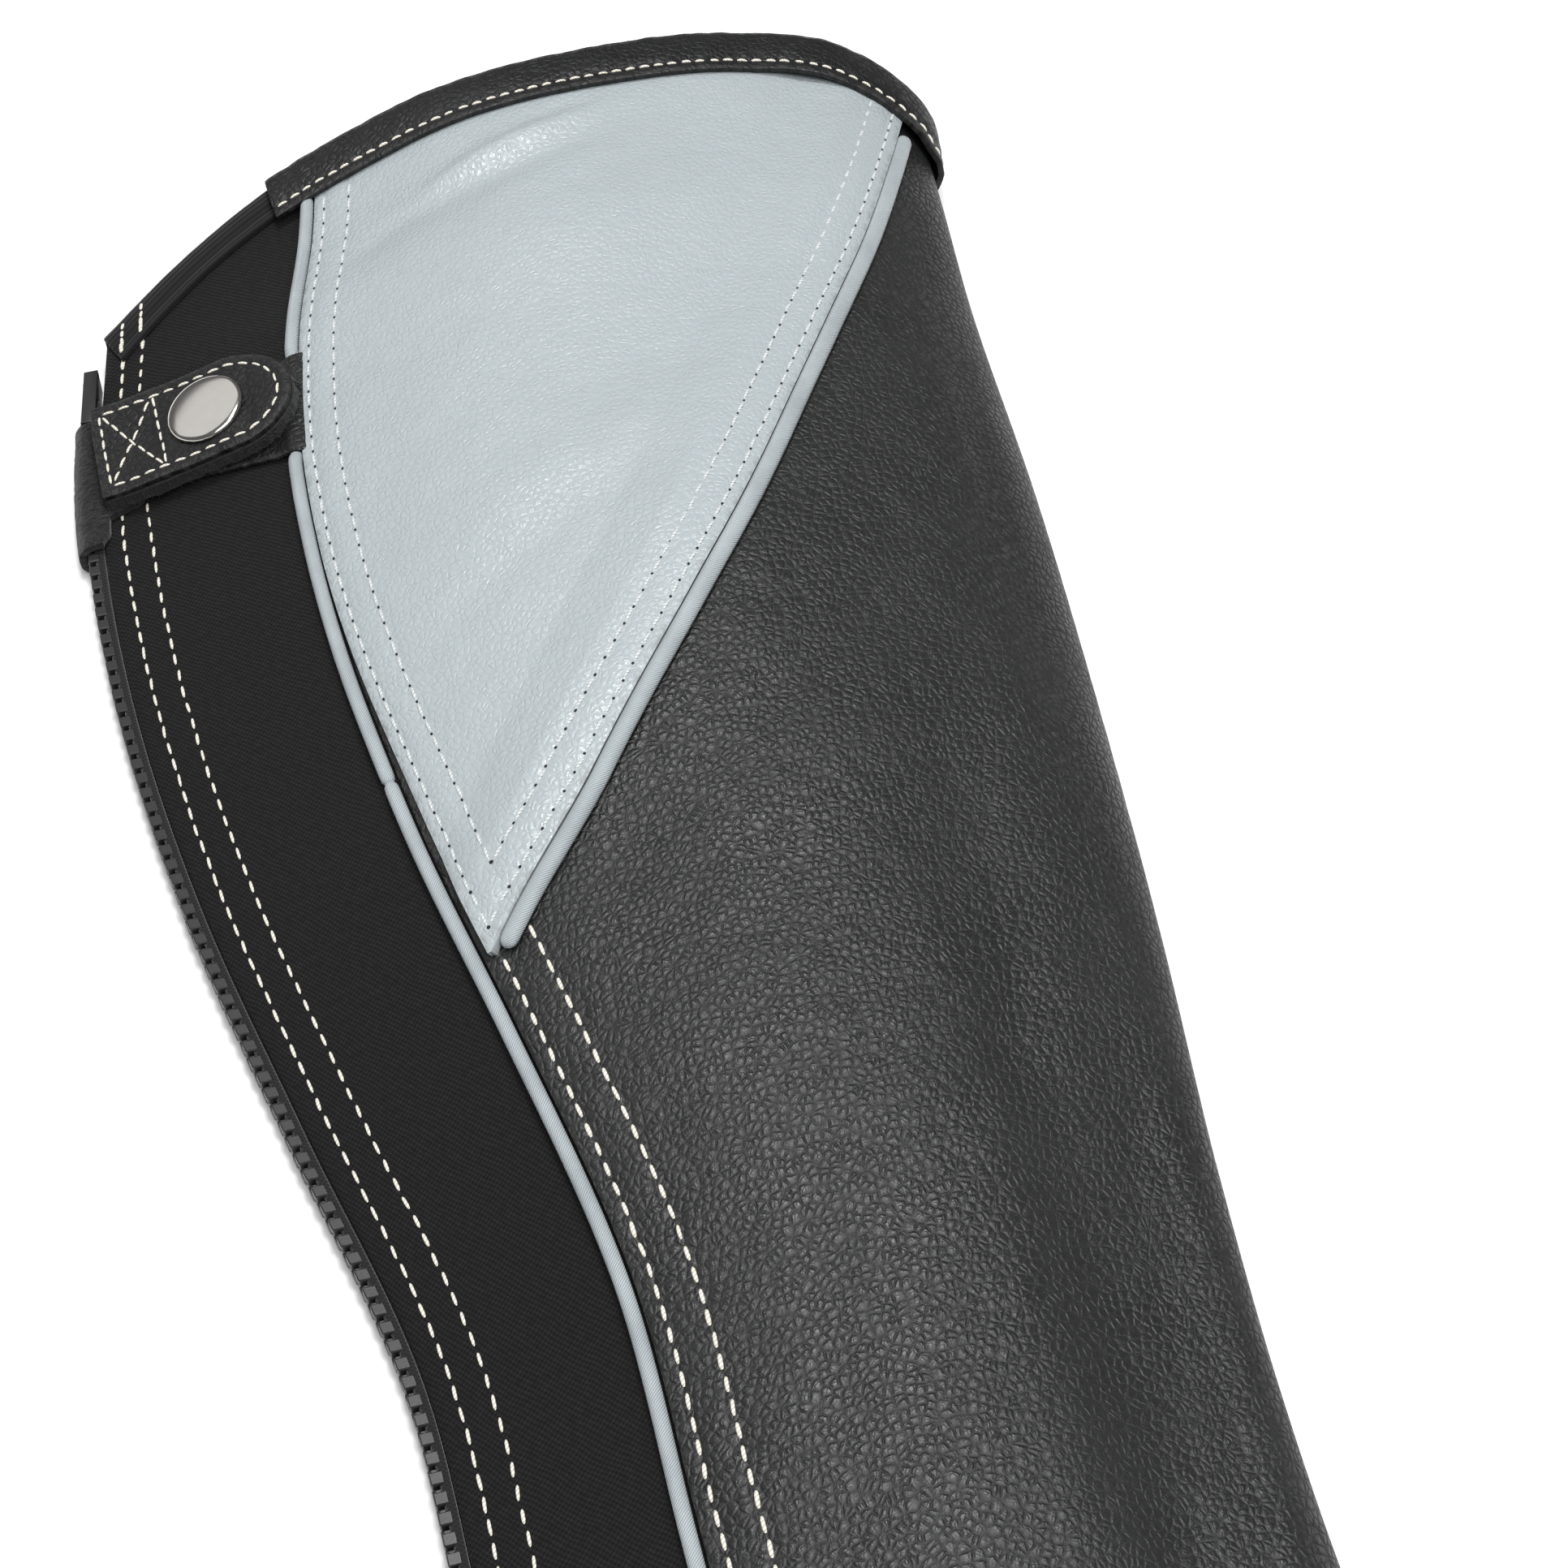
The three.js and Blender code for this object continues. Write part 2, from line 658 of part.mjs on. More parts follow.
const HEM_STACK = [
  { across: 0, outer: CLOTH_TOP, inner: CLOTH_BOTTOM },
  { across: 0.24, outer: CLOTH_TOP, inner: CLOTH_BOTTOM },
  { across: 0.255, outer: 0, inner: CLOTH_BOTTOM },
  { across: 0.37, outer: 0, inner: CLOTH_BOTTOM },
  { across: 0.41, outer: 0, inner: -LEATHER },
  { across: 1.06, outer: 0, inner: -LEATHER },
  { across: 1.1, outer: 0, inner: CLOTH_TOP - LEATHER },
  { across: 1.24, outer: 0, inner: CLOTH_TOP - LEATHER },
  { across: 1.3, outer: 0, inner: -LEATHER },
  { across: 2, outer: 0, inner: -LEATHER },
];

function stationsOf(spans) {
  const stations = [];
  for (const [from, to, steps] of spans) {
    for (let i = 0; i < steps; i += 1) stations.push(lerp(from, to, i / steps));
  }
  stations.push(spans[spans.length - 1][1]);
  return stations;
}

function stackBinding(stack, width, thickness) {
  return (across) =>
    bindingProfile(
      width,
      thickness,
      between(stack, "across", "outer", across),
      between(stack, "across", "inner", across),
    );
}

add(
  "top_binding",
  edgeBinding(
    stationsOf([
      [TOP_BINDING_START, 0.335, 3],
      [0.335, 0.37, 1],
      [0.37, 0.78, 8],
      [0.78, 0.91, 3],
      [0.91, 1, 6],
      [1, 1.09, 5],
      [1.09, 1.18, 2],
      [1.18, 1.22, 1],
      [1.22, innerEdgeEnd, 6],
    ]),
    topY,
    1,
    stackBinding(TOP_STACK, TOP_BINDING_WIDTH, BINDING_LEATHER),
  ),
  blackLeather,
);
add(
  "cloth_binding",
  edgeBinding(
    stationsOf([[0.012, TOP_BINDING_START - 0.004, 6]]),
    topY,
    1,
    () => bindingProfile(CLOTH_BINDING_WIDTH, CLOTH_BINDING, CLOTH_TOP, CLOTH_BOTTOM),
  ),
  blackTape,
);
add(
  "hem_binding",
  edgeBinding(
    stationsOf([
      [0.015, 0.24, 3],
      [0.24, 0.255, 1],
      [0.255, 0.37, 3],
      [0.37, 0.41, 1],
      [0.41, 0.91, 6],
      [0.91, 1.06, 8],
      [1.06, 1.1, 2],
      [1.1, 1.24, 3],
      [1.24, 1.3, 1],
      [1.3, innerEdgeEnd, 4],
    ]),
    hemY,
    -1,
    stackBinding(HEM_STACK, HEM_BINDING_WIDTH, BINDING_LEATHER),
  ),
  blackLeather,
);

// Zip: a tape under the stretch cloth, a tape inside the inner leather, and the closed teeth
// that stand along the edge between them.

const zipBottomY = HEM_BINDING_WIDTH + 2 * GAP;
const zipTopY = TAB_Y + TAB_WIDTH / 2 + GAP;
const tapeTopY = BODY_HEIGHT - BACK_DROP - TOP_BINDING_WIDTH - 4 * GAP;

function tape(side) {
  const place = (u, share) => {
    const y = lerp(zipBottomY, tapeTopY, share);
    const across =
      side === "outer"
        ? shifted(0, y, lerp(GAP, TAPE_WIDTH, u))
        : shifted(1.999, y, -lerp(TAPE_WIDTH, GAP, u));
    return { across, y };
  };
  const top = side === "outer" ? TAPE_TOP : -LEATHER - GAP;
  return wall(2, PANEL_ROWS, place, () => ({ top, bottom: top - TAPE }));
}
add("zip_tape_outer", tape("outer"), blackTape);
add("zip_tape_inner", tape("inner"), blackTape);

// The layers meet here, above the inner leather.
const teethMiddle = LEATHER + GAP + TAPE + GAP / 2;

// A body that stands along the zip edge, through sections of a fixed profile. The profile
// has x from the zip edge and z from the floor side of the inner leather.
function throughSections(sections) {
  const rings = sections.map(({ y, profile }) =>
    profile.map(([x, z]) => new THREE.Vector3(zipX(y) + x, y, z + endLift(y))),
  );
  return loft(rings, profileCap(sections[0].profile));
}

function alongZip(profile, fromY, toY, rows) {
  const sections = [];
  for (let i = 0; i <= rows; i += 1) {
    sections.push({ y: lerp(fromY, toY, i / rows), profile });
  }
  return throughSections(sections);
}

function teeth() {
  const half = TEETH_HEIGHT / 2;
  const near = -GAP;
  const far = -GAP - TEETH_DEPTH;
  const corner = 0.7;
  const profile = [
    [near, teethMiddle - half],
    [near, teethMiddle + half],
    [far + corner, teethMiddle + half],
    [far, teethMiddle + half - corner],
    [far, teethMiddle - half + corner],
    [far + corner, teethMiddle - half],
  ].map(([x, z]) => [x, Math.max(z, 0.3) + 0.3]);
  return alongZip(profile, zipBottomY, zipTopY, PANEL_ROWS);
}
add("zip_teeth", teeth(), blackPlastic);

function slider() {
  const half = SLIDER_HEIGHT / 2;
  const middle = teethMiddle + 0.9;
  const far = -GAP - SLIDER_DEPTH;
  const corner = 1.2;
  const profile = [
    [-GAP, middle - half],
    [-GAP, middle + half],
    [far + corner, middle + half],
    [far, middle + half - corner],
    [far, middle - half + corner],
    [far + corner, middle - half],
  ];
  return alongZip(profile, zipTopY + GAP, zipTopY + GAP + SLIDER_LENGTH, 3);
}
add("zip_slider", slider(), blackPlastic);

// Snap tab

const tabEndX = (y) => zipX(y) + TAB_OVERHANG;
const tabMiddle = (along) => TAB_Y - TAB_SLOPE * along;
const snapX = tabEndX(TAB_Y) + SNAP_FROM_END;
const snapY = tabMiddle(SNAP_FROM_END);
const BASE_TOP = CLOTH_TOP + GAP + LOOP_LEATHER;
const BACKING_BOTTOM = BASE_TOP + GAP;
const TAB_BOTTOM = BACKING_BOTTOM + TAB_BACKING + GAP;
const TAB_TOP = TAB_BOTTOM + TAB_LEATHER;

// A strap laid over the outer side in plan: square at the zip, round at the other end.
function strap(bottom, thickness, inset) {
  const rows = [0, 0.25, 0.5, 0.72, 0.8, 0.88, 0.94, 0.98, 1];
  const columns = 4;
  const radius = TAB_WIDTH / 2 - inset;
  const length = TAB_LENGTH - inset;
  const rings = rows.map((share) => {
    const along = share * length;
    const intoEnd = Math.max(0, along - (length - radius));
    const half = Math.max(radius * 0.18, Math.sqrt(Math.max(0, radius ** 2 - intoEnd ** 2)));
    const top = [];
    const under = [];
    for (let column = 0; column <= columns; column += 1) {
      const y = tabMiddle(along) + lerp(half, -half, column / columns);
      const across = acrossAt(tabEndX(TAB_Y) + along, y);
      top.push(skinAt(across, y, bottom + thickness));
      under.unshift(skinAt(across, y, bottom));
    }
    return [...top, ...under];
  });
  return loft(rings, stripCap(columns));
}

// Turned solids stand on the skin at the snap, with their axis along its normal.
function atSnap(geometry, offset) {
  const across = acrossAt(snapX, snapY);
  const turn = new THREE.Quaternion().setFromUnitVectors(
    new THREE.Vector3(0, 1, 0),
    skinNormal(across, snapY),
  );
  return geometry
    .applyMatrix4(new THREE.Matrix4().makeRotationFromQuaternion(turn))
    .translate(...skinAt(across, snapY, offset).toArray());
}

function solidOf(geometry) {
  const bare = geometry.clone();
  bare.deleteAttribute("normal");
  bare.deleteAttribute("uv");
  const merged = mergeVertices(bare, 1e-4);
  return new wasm.Manifold(
    new wasm.Mesh({
      numProp: 3,
      vertProperties: new Float32Array(merged.getAttribute("position").array),
      triVerts: new Uint32Array(merged.getIndex().array),
    }),
  );
}

function geometryOf(solid) {
  const mesh = solid.getMesh();
  const geometry = new THREE.BufferGeometry();
  geometry.setAttribute("position", new THREE.BufferAttribute(mesh.vertProperties, 3));
  geometry.setIndex(new THREE.BufferAttribute(mesh.triVerts, 1));
  geometry.computeVertexNormals();
  return geometry;
}

function punched(geometry) {
  const drill = atSnap(new THREE.CylinderGeometry(POST_RADIUS + GAP, POST_RADIUS + GAP, 20, 16), 0);
  return geometryOf(solidOf(geometry).subtract(solidOf(drill)));
}

add("snap_tab", punched(strap(TAB_BOTTOM, TAB_LEATHER, 0)), blackLeather);
add("tab_backing", punched(strap(BACKING_BOTTOM, TAB_BACKING, 0.4)), blackFelt);

const SNAP_SEGMENTS = 24;
const postFoot = BACKING_BOTTOM - TAB_TOP - GAP;
add(
  "snap_cap",
  atSnap(
    new THREE.LatheGeometry(
      [
        [0, postFoot],
        [POST_RADIUS, postFoot],
        [POST_RADIUS, 0],
        [SNAP_RADIUS - 0.3, 0],
        [SNAP_RADIUS, SNAP_RISE * 0.35],
        [SNAP_RADIUS - 0.5, SNAP_RISE * 0.75],
        [SNAP_RADIUS * 0.6, SNAP_RISE * 0.97],
        [0, SNAP_RISE],
      ].map(([r, h]) => new THREE.Vector2(r, h)),
      SNAP_SEGMENTS,
    ),
    TAB_TOP + GAP,
  ),
  polishedMetal,
);

// The base: leather that comes from the calf panel's edge and carries the other half of the
// snap, hidden under the tab.
const BASE_REACH = 26; // from the calf panel's edge back under the tab
function basePatch(bottom, thickness) {
  const place = (u, share) => {
    const middle = baseY + lerp(BASE_CLIMB, 0, u);
    const y = middle + lerp(-0.5, 0.5, share) * lerp(BASE_NARROW, BASE_WIDTH, u);
    const end = shifted(backSeam(y), y, -GAP);
    return { across: lerp(shifted(end, y, -BASE_REACH), end, u), y };
  };
  return wall(5, 4, place, () => ({ top: bottom + thickness, bottom }));
}
const baseLeather = BASE_TOP - CLOTH_TOP - GAP;
add("tab_base", basePatch(CLOTH_TOP + GAP, baseLeather), blackLeather);

// The felt loop: from under the tab's square end, round the teeth, to the inner leather.
// Its upper leg is long where it carries the tab, and short below it.
function loopProfile(reach) {
  const top = ZIP_EDGE_HEIGHT + CLOTH_TOP + GAP;
  const out = -GAP - TEETH_DEPTH - GAP - 0.15;
  const round = 1.6;
  return [
    [reach, top + 0.35 + (reach - 2) * LOOP_RISE],
    [reach, top + 0.35 + (reach - 2) * LOOP_RISE + LOOP_LEATHER],
    [2, top + LOOP_LEATHER + 0.35],
    [out - LOOP_LEATHER + round, top + LOOP_LEATHER],
    [out - LOOP_LEATHER, top + LOOP_LEATHER - round],
    [out - LOOP_LEATHER, round],
    [out - LOOP_LEATHER + round, 0],
    [-GAP, 0],
    [-GAP, 0.3],
    [out + 0.5, 0.3],
    [out, 0.8],
    [out, top - 0.6],
    [out + 0.6, top],
    [2, top + 0.35],
  ];
}
const tabLow = TAB_Y - TAB_WIDTH / 2;
const tabHigh = TAB_Y + TAB_WIDTH / 2;
const loopSections = [
  { y: tabLow - LOOP_DROP, profile: loopProfile(LOOP_SHORT) },
  { y: tabLow - LOOP_DROP / 4, profile: loopProfile(LOOP_SHORT) },
  { y: tabLow + GAP, profile: loopProfile(LOOP_REACH) },
  { y: lerp(tabLow, tabHigh, 0.5), profile: loopProfile(LOOP_REACH) },
  { y: tabHigh, profile: loopProfile(LOOP_REACH) },
];
add("tab_loop", throughSections(loopSections), blackFelt);

// The origin is the middle of the part's footprint on the floor.
const bounds = new THREE.Box3().setFromObject(chap);
const middle = bounds.getCenter(new THREE.Vector3());
chap.position.set(-middle.x, -middle.y, -bounds.min.z);
chap.updateMatrixWorld(true);

export default chap;
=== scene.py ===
# %% [markdown]
# # A leather half chap, lying on its side
# A half chap is a sleeve of leather for one lower leg. This one is laid flat with its zip
# closed: the front of the leg is the fold on the right, the zip is on the left, and the knee
# end is at the top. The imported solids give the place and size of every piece. This lesson
# lays fine leather, cloth, thread and metal over them.

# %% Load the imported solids
import math

import bpy
import numpy as np
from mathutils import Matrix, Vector, noise


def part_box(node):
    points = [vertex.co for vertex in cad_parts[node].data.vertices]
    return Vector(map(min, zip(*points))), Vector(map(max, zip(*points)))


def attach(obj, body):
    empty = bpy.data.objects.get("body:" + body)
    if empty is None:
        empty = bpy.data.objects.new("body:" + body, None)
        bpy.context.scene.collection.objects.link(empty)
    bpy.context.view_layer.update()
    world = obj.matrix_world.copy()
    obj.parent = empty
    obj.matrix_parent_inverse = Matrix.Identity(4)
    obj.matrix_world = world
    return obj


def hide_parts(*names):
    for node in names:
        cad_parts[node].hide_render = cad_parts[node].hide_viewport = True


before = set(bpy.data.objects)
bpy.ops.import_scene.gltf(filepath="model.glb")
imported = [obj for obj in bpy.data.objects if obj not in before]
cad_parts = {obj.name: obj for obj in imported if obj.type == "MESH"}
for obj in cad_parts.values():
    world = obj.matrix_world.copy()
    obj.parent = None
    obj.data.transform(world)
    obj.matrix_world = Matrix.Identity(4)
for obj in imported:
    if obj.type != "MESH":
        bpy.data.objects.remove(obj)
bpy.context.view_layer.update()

MM = 0.001

# %% [markdown]
# ## The skin
# Every panel, seam and stitch lies on one surface, the outer face of the leather. It is
# easiest to describe as a maker would: how far across the side you are (0 at the zip, 1 at
# the front fold, 2 at the zip again on the inner side), how high above the hem, and how far
# off the leather. So the surface is worked out once, as a table, and all pieces read it.

# %% Sizes of the form, in millimetres
BODY_HEIGHT = 404.0
CALF_WIDTH = 178.0
CALF_RISE = 34.0
FOLD_RADIUS = 9.0
ZIP_EDGE_HEIGHT = 7.5
CROWN_SHARE = 0.55
FOLD_ROUNDNESS = 1.85
BACK_SWELL = 1.35
BACK_DROP = 12.0
TOP_ARC = 26.0
ARC_SQUARENESS = 4.0
INNER_DIP = 6.0
HEM_ARC = 8.0
LEATHER = 1.6
CLOTH = 1.4
GAP = 0.35
LAP = 13.0
BINDING_LEATHER = 1.2
CLOTH_TOP = -LEATHER - GAP
CLOTH_BOTTOM = CLOTH_TOP - CLOTH
TAPE_TOP = CLOTH_BOTTOM - GAP

# along: share of the height; back and front: shares of the width; rise: share of the rise
SECTIONS = np.array([
    (0.0, -0.399, 0.354, 0.74),
    (0.15, -0.388, 0.331, 0.72),
    (0.26, -0.385, 0.341, 0.76),
    (0.37, -0.389, 0.368, 0.82),
    (0.495, -0.444, 0.409, 0.9),
    (0.62, -0.4955, 0.4427, 0.97),
    (0.745, -0.5213, 0.4708, 1.0),
    (0.866, -0.514, 0.4888, 0.98),
    (1.0, -0.461, 0.5197, 0.92),
])
# across, along, depth (share of the rise), reach across, reach along
DENTS = [
    (0.3, 0.985, 0.06, 0.12, 0.045),
    (0.55, 0.93, -0.04, 0.14, 0.06),
    (0.8, 0.33, 0.085, 0.07, 0.27),
    (0.45, 0.56, 0.05, 0.09, 0.06),
    (0.62, 0.7, -0.03, 0.08, 0.1),
]
# Seams: along, across
BACK_SEAM = np.array([
    (0.0, 0.265), (0.3, 0.264), (0.45, 0.256), (0.6, 0.236),
    (0.75, 0.224), (0.9, 0.233), (1.02, 0.256),
])
CALF_SEAM = np.array([
    (0.53, 0.258), (0.6, 0.42), (0.7, 0.6), (0.8, 0.735), (0.9, 0.855), (1.02, 0.968),
])
INNER_SEAM = np.array([(0.0, 0.22), (0.3, 0.2), (0.6, 0.165), (1.0, 0.15)])


def unit(vectors):
    return vectors / np.linalg.norm(vectors, axis=-1, keepdims=True)


def run_along(points):
    """The distance along a path at each of its points."""
    return np.concatenate([[0], np.cumsum(np.linalg.norm(np.diff(points, axis=0), axis=1))])


def smooth(rows, at, column=1):
    """A curve through the rows of a table, straight beyond its ends."""
    at = np.asarray(at, float)
    along, value = rows[:, 0], rows[:, column]
    last = len(along) - 1
    low = np.maximum(np.arange(last + 1) - 1, 0)
    high = np.minimum(np.arange(last + 1) + 1, last)
    slope = (value[high] - value[low]) / (along[high] - along[low])
    i = np.clip(np.searchsorted(along, at) - 1, 0, last - 1)
    step = along[i + 1] - along[i]
    t = (at - along[i]) / step
    inside = (
        (2 * t**3 - 3 * t**2 + 1) * value[i]
        + (t**3 - 2 * t**2 + t) * step * slope[i]
        + (3 * t**2 - 2 * t**3) * value[i + 1]
        + (t**3 - t**2) * step * slope[i + 1]
    )
    below = value[0] + slope[0] * (at - along[0])
    above = value[-1] + slope[-1] * (at - along[-1])
    return np.where(at < along[0], below, np.where(at > along[-1], above, inside))


def ease(share):
    """0 to 1, smooth at both ends."""
    share = np.clip(share, 0, 1)
    return share * share * (3 - 2 * share)


def end_lift(y):
    """The leather lifts off the floor near its ends, by what the bindings stand proud."""
    from_end = np.minimum(y, BODY_HEIGHT - y) / BODY_HEIGHT
    return (GAP + BINDING_LEATHER) * ease((0.13 - from_end) / (0.13 - 0.055))


# %% Build the skin table
SKIN_Y = np.arange(-18.0, 434.0, 1.0)
SKIN_ACROSS = np.linspace(0, 2, 801)
SIDE = len(SKIN_ACROSS) // 2


def outline(y):
    """x and z of the outer side from zip to fold, and of the inner side from fold to zip."""
    along = y / BODY_HEIGHT
    back, front = (float(smooth(SECTIONS, along, k)) * CALF_WIDTH for k in (1, 2))
    rise = float(smooth(SECTIONS, along, 3)) * CALF_RISE
    width = front - back
    t = np.linspace(0, 1, 120)
    swell = np.sin(np.pi / 2 * t) ** BACK_SWELL
    x = back + t * CROWN_SHARE * width
    z = ZIP_EDGE_HEIGHT + (rise - ZIP_EDGE_HEIGHT) * swell
    angle = np.pi / 2 * t[1:]
    reach = np.sin(angle) ** (2 / FOLD_ROUNDNESS)
    fall = np.maximum(0, np.cos(angle)) ** (2 / FOLD_ROUNDNESS)
    x = np.concatenate([x, back + (CROWN_SHARE + (1 - CROWN_SHARE) * reach) * width])
    z = np.concatenate([z, FOLD_RADIUS + (rise - FOLD_RADIUS) * fall])
    share = (x - back) / width
    for across, at, depth, reach_across, reach_along in DENTS:
        u, v = (share - across) / reach_across, (along - at) / reach_along
        z = z - depth * CALF_RISE * np.exp(-u * u - v * v)
    quarter = np.linspace(0, np.pi / 2, 40)
    inner_x = front - FOLD_RADIUS * (1 - np.cos(quarter))
    inner_z = FOLD_RADIUS * (1 - np.sin(quarter))
    return (x, z), (np.append(inner_x, back), np.append(inner_z, 0.0))


def even_steps(x, z, count):
    """The same curve at even distances, and its length."""
    run = run_along(np.stack([x, z], axis=1))
    at = np.linspace(0, run[-1], count)
    return np.interp(at, run, x), np.interp(at, run, z), run[-1]


skin_points = np.zeros((len(SKIN_Y), len(SKIN_ACROSS), 3))
skin_girth = np.zeros((len(SKIN_Y), 2))
for row, y in enumerate(SKIN_Y):
    outer, inner = outline(y)
    x, z, skin_girth[row, 0] = even_steps(*outer, SIDE + 1)
    inner_x, inner_z, skin_girth[row, 1] = even_steps(*inner, SIDE + 1)
    skin_points[row, :, 0] = np.concatenate([x, inner_x[1:]])
    skin_points[row, :, 1] = y
    skin_points[row, :, 2] = np.concatenate([z, inner_z[1:]]) + end_lift(y)


def normals_of(points):
    across = np.gradient(points, axis=1)
    up = np.gradient(points, axis=0)
    return unit(np.cross(across, up))


skin_normals = normals_of(skin_points)
print("skin:", skin_points.shape, "girth at the calf", round(float(skin_girth[318].sum()), 1))

# %% [markdown]
# Worn leather is never a clean sheet: it waves a little over the hollow tube, and it keeps
# shallow creases where it was handled. These are moves of the skin itself, so the panels,
# the piping and the stitches that lie on it all follow, and nothing comes apart.

# %% Waves and creases of worn leather
# x, y, turn in degrees, half length, half width, depth (in millimetres, depth inwards)
CREASES = [
    (4, 402, 17, 17, 2.2, -1.5),
    (0, 394.5, 15, 20, 3.8, 1.2),
    (-9, 398.5, 22, 9, 1.0, -0.45),
    (8, 399, 12, 10, 1.0, -0.32),
    (14, 408.5, 14, 9, 1.3, 0.35),
    (-26, 389, 30, 12, 3.2, 0.4),
    (30, 392, 22, 26, 6.0, 0.3),
    (-28, 352, -35, 24, 5.5, 0.35),
    (-5, 313, 24, 30, 7.0, -0.55),
    (-12, 296, 30, 26, 5.0, 0.4),
    (15, 340, 58, 34, 5.5, 0.3),
    (62, 392, 66, 20, 2.2, 0.25),
    (52, 356, 60, 30, 2.4, 0.2),
    (74, 305, 84, 34, 3.2, 0.45),
    (60, 262, 70, 34, 5.0, 0.4),
    (20, 250, 38, 24, 6.0, 0.5),
    (5, 205, 62, 26, 7.0, 0.5),
    (49, 130, 82, 64, 9.5, 3.2),
    (30, 168, 48, 26, 6.0, 0.45),
    (-8, 120, 78, 44, 7.0, 0.5),
    (24, 66, 60, 34, 6.0, 0.4),
    (48, 84, 80, 34, 4.0, 0.5),
]
WAVES = [(52.0, 0.75), (23.0, 0.28), (11.0, 0.07)]  # wavelength, height
FIRST_SEED, SEED_STEP = 7.3, 3.1


def wave_field(points, size, seed):
    """Smooth noise at the points of the table, worked out on a coarse grid and spread."""
    rows = np.arange(0, points.shape[0], 4)
    columns = np.arange(0, points.shape[1], 8)
    coarse = np.array([
        [noise.noise(Vector(points[r, c] / size) + Vector((seed, 0, 0))) for c in columns]
        for r in rows
    ])
    by_row = np.array([
        np.interp(np.arange(points.shape[1]), columns, line) for line in coarse
    ])
    return np.array([
        np.interp(np.arange(points.shape[0]), rows, line) for line in by_row.T
    ]).T


relief = np.zeros(skin_points.shape[:2])
for number, (size, height) in enumerate(WAVES):
    relief += height * wave_field(skin_points, size, FIRST_SEED + SEED_STEP * number)
for x, y, turn, half_length, half_width, depth in CREASES:
    dx = skin_points[:, :, 0] - x
    dy = SKIN_Y[:, None] - y
    c, s = math.cos(math.radians(turn)), math.sin(math.radians(turn))
    length, side = dx * c + dy * s, dy * c - dx * s
    relief -= depth * np.exp(-((length / half_length) ** 2) - (side / half_width) ** 2)
# only the outer side is free to wave: it dies out at the zip and round the front fold
relief *= ease(SKIN_ACROSS / 0.12) * ease((1.0 - SKIN_ACROSS) / 0.1)
skin_points += relief[:, :, None] * skin_normals
skin_normals = normals_of(skin_points)

# the table is in the pattern's frame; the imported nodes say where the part's frame is
main_low, main_high = (np.array(c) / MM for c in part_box("main_panel"))
inner_low, _ = (np.array(c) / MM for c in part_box("inner_panel"))
TO_PART = np.array([
    main_high[0] - skin_points[SKIN_Y <= BODY_HEIGHT][:, SIDE, 0].max(),
    main_low[1] + HEM_ARC,
    inner_low[2],
])
print("pattern to part:", TO_PART.round(2), "relief", relief.min().round(2), relief.max().round(2))


LAST_COLUMN = len(SKIN_ACROSS) - 1.001  # just short of the last, so that a next one exists
LAST_ROW = len(SKIN_Y) - 1.001


def read_table(table, across, y):
    """The table's value between its rows and columns."""
    a = np.clip(np.asarray(across, float) / 2 * (len(SKIN_ACROSS) - 1), 0, LAST_COLUMN)
    b = np.clip(np.asarray(y, float) - SKIN_Y[0], 0, LAST_ROW)
    i, j = a.astype(int), b.astype(int)
    s, t = (a - i)[..., None], (b - j)[..., None]
    top = table[j, i] * (1 - s) + table[j, i + 1] * s
    bottom = table[j + 1, i] * (1 - s) + table[j + 1, i + 1] * s
    return top * (1 - t) + bottom * t


def skin_normal(across, y):
    return unit(read_table(skin_normals, across, y))


def skin(across, y, off=0.0):
    """Points in the part's frame, in millimetres, off the leather's outer face."""
    point = read_table(skin_points, across, y)
    point[..., 1] = y
    return point + np.asarray(off)[..., None] * skin_normal(across, y) + TO_PART


def across_at(x, y):
    """Where on the outer side the skin has this x, both in the pattern's frame."""
    x, y = np.broadcast_arrays(np.asarray(x, float), np.asarray(y, float))
    row = np.clip(y - SKIN_Y[0], 0, LAST_ROW)
    half = SKIN_ACROSS[:SIDE + 1]
    found = [
        [np.interp(x_one, skin_points[r, :SIDE + 1, 0], half) for r in (int(at), int(at) + 1)]
        for x_one, at in zip(x.ravel(), row.ravel())
    ]
    found = np.array(found).reshape(x.shape + (2,))
    part = row - row.astype(int)
    return found[..., 0] * (1 - part) + found[..., 1] * part


def zip_x(y):
    return np.interp(y, SKIN_Y, skin_points[:, 0, 0])


def girth(across, y):
    """The width over the curve of the outer side or the inner side, in millimetres."""
    outer, inner = (np.interp(y, SKIN_Y, skin_girth[:, k]) for k in (0, 1))
    return np.where(np.asarray(across) > 1, inner, outer)


def top_y(across):
    share = np.where(across <= 1, across, 2 - across)
    line = BODY_HEIGHT - BACK_DROP * (1 - share)
    arch = TOP_ARC * (1 - np.abs(2 * share - 1) ** ARC_SQUARENESS)
    return line + np.where(across <= 1, arch, -INNER_DIP * np.sin(np.pi * share))


def hem_y(across):
    share = np.where(across <= 1, across, 2 - across)
    return -HEM_ARC * np.sin(np.pi * share) ** 2


def height_at(across, share):
    return hem_y(across) + share * (top_y(across) - hem_y(across))


def back_seam(y):
    return smooth(BACK_SEAM, y / BODY_HEIGHT)


def calf_seam(y):
    return smooth(CALF_SEAM, y / BODY_HEIGHT)


def inner_seam(y):
    return 1 + smooth(INNER_SEAM, y / BODY_HEIGHT)


def moved(across, y, distance):
    """across, moved sideways by a real distance in millimetres."""
    return across + distance / girth(across, y)


def main_edge(y):
    return np.maximum(back_seam(y), moved(calf_seam(y), y, -LAP))


def on_row(line, share):
    """Where a line given by height crosses the row at a share of the local height."""
    across = line(BODY_HEIGHT * share)
    for _ in range(8):
        across = line(height_at(across, share))
    return across


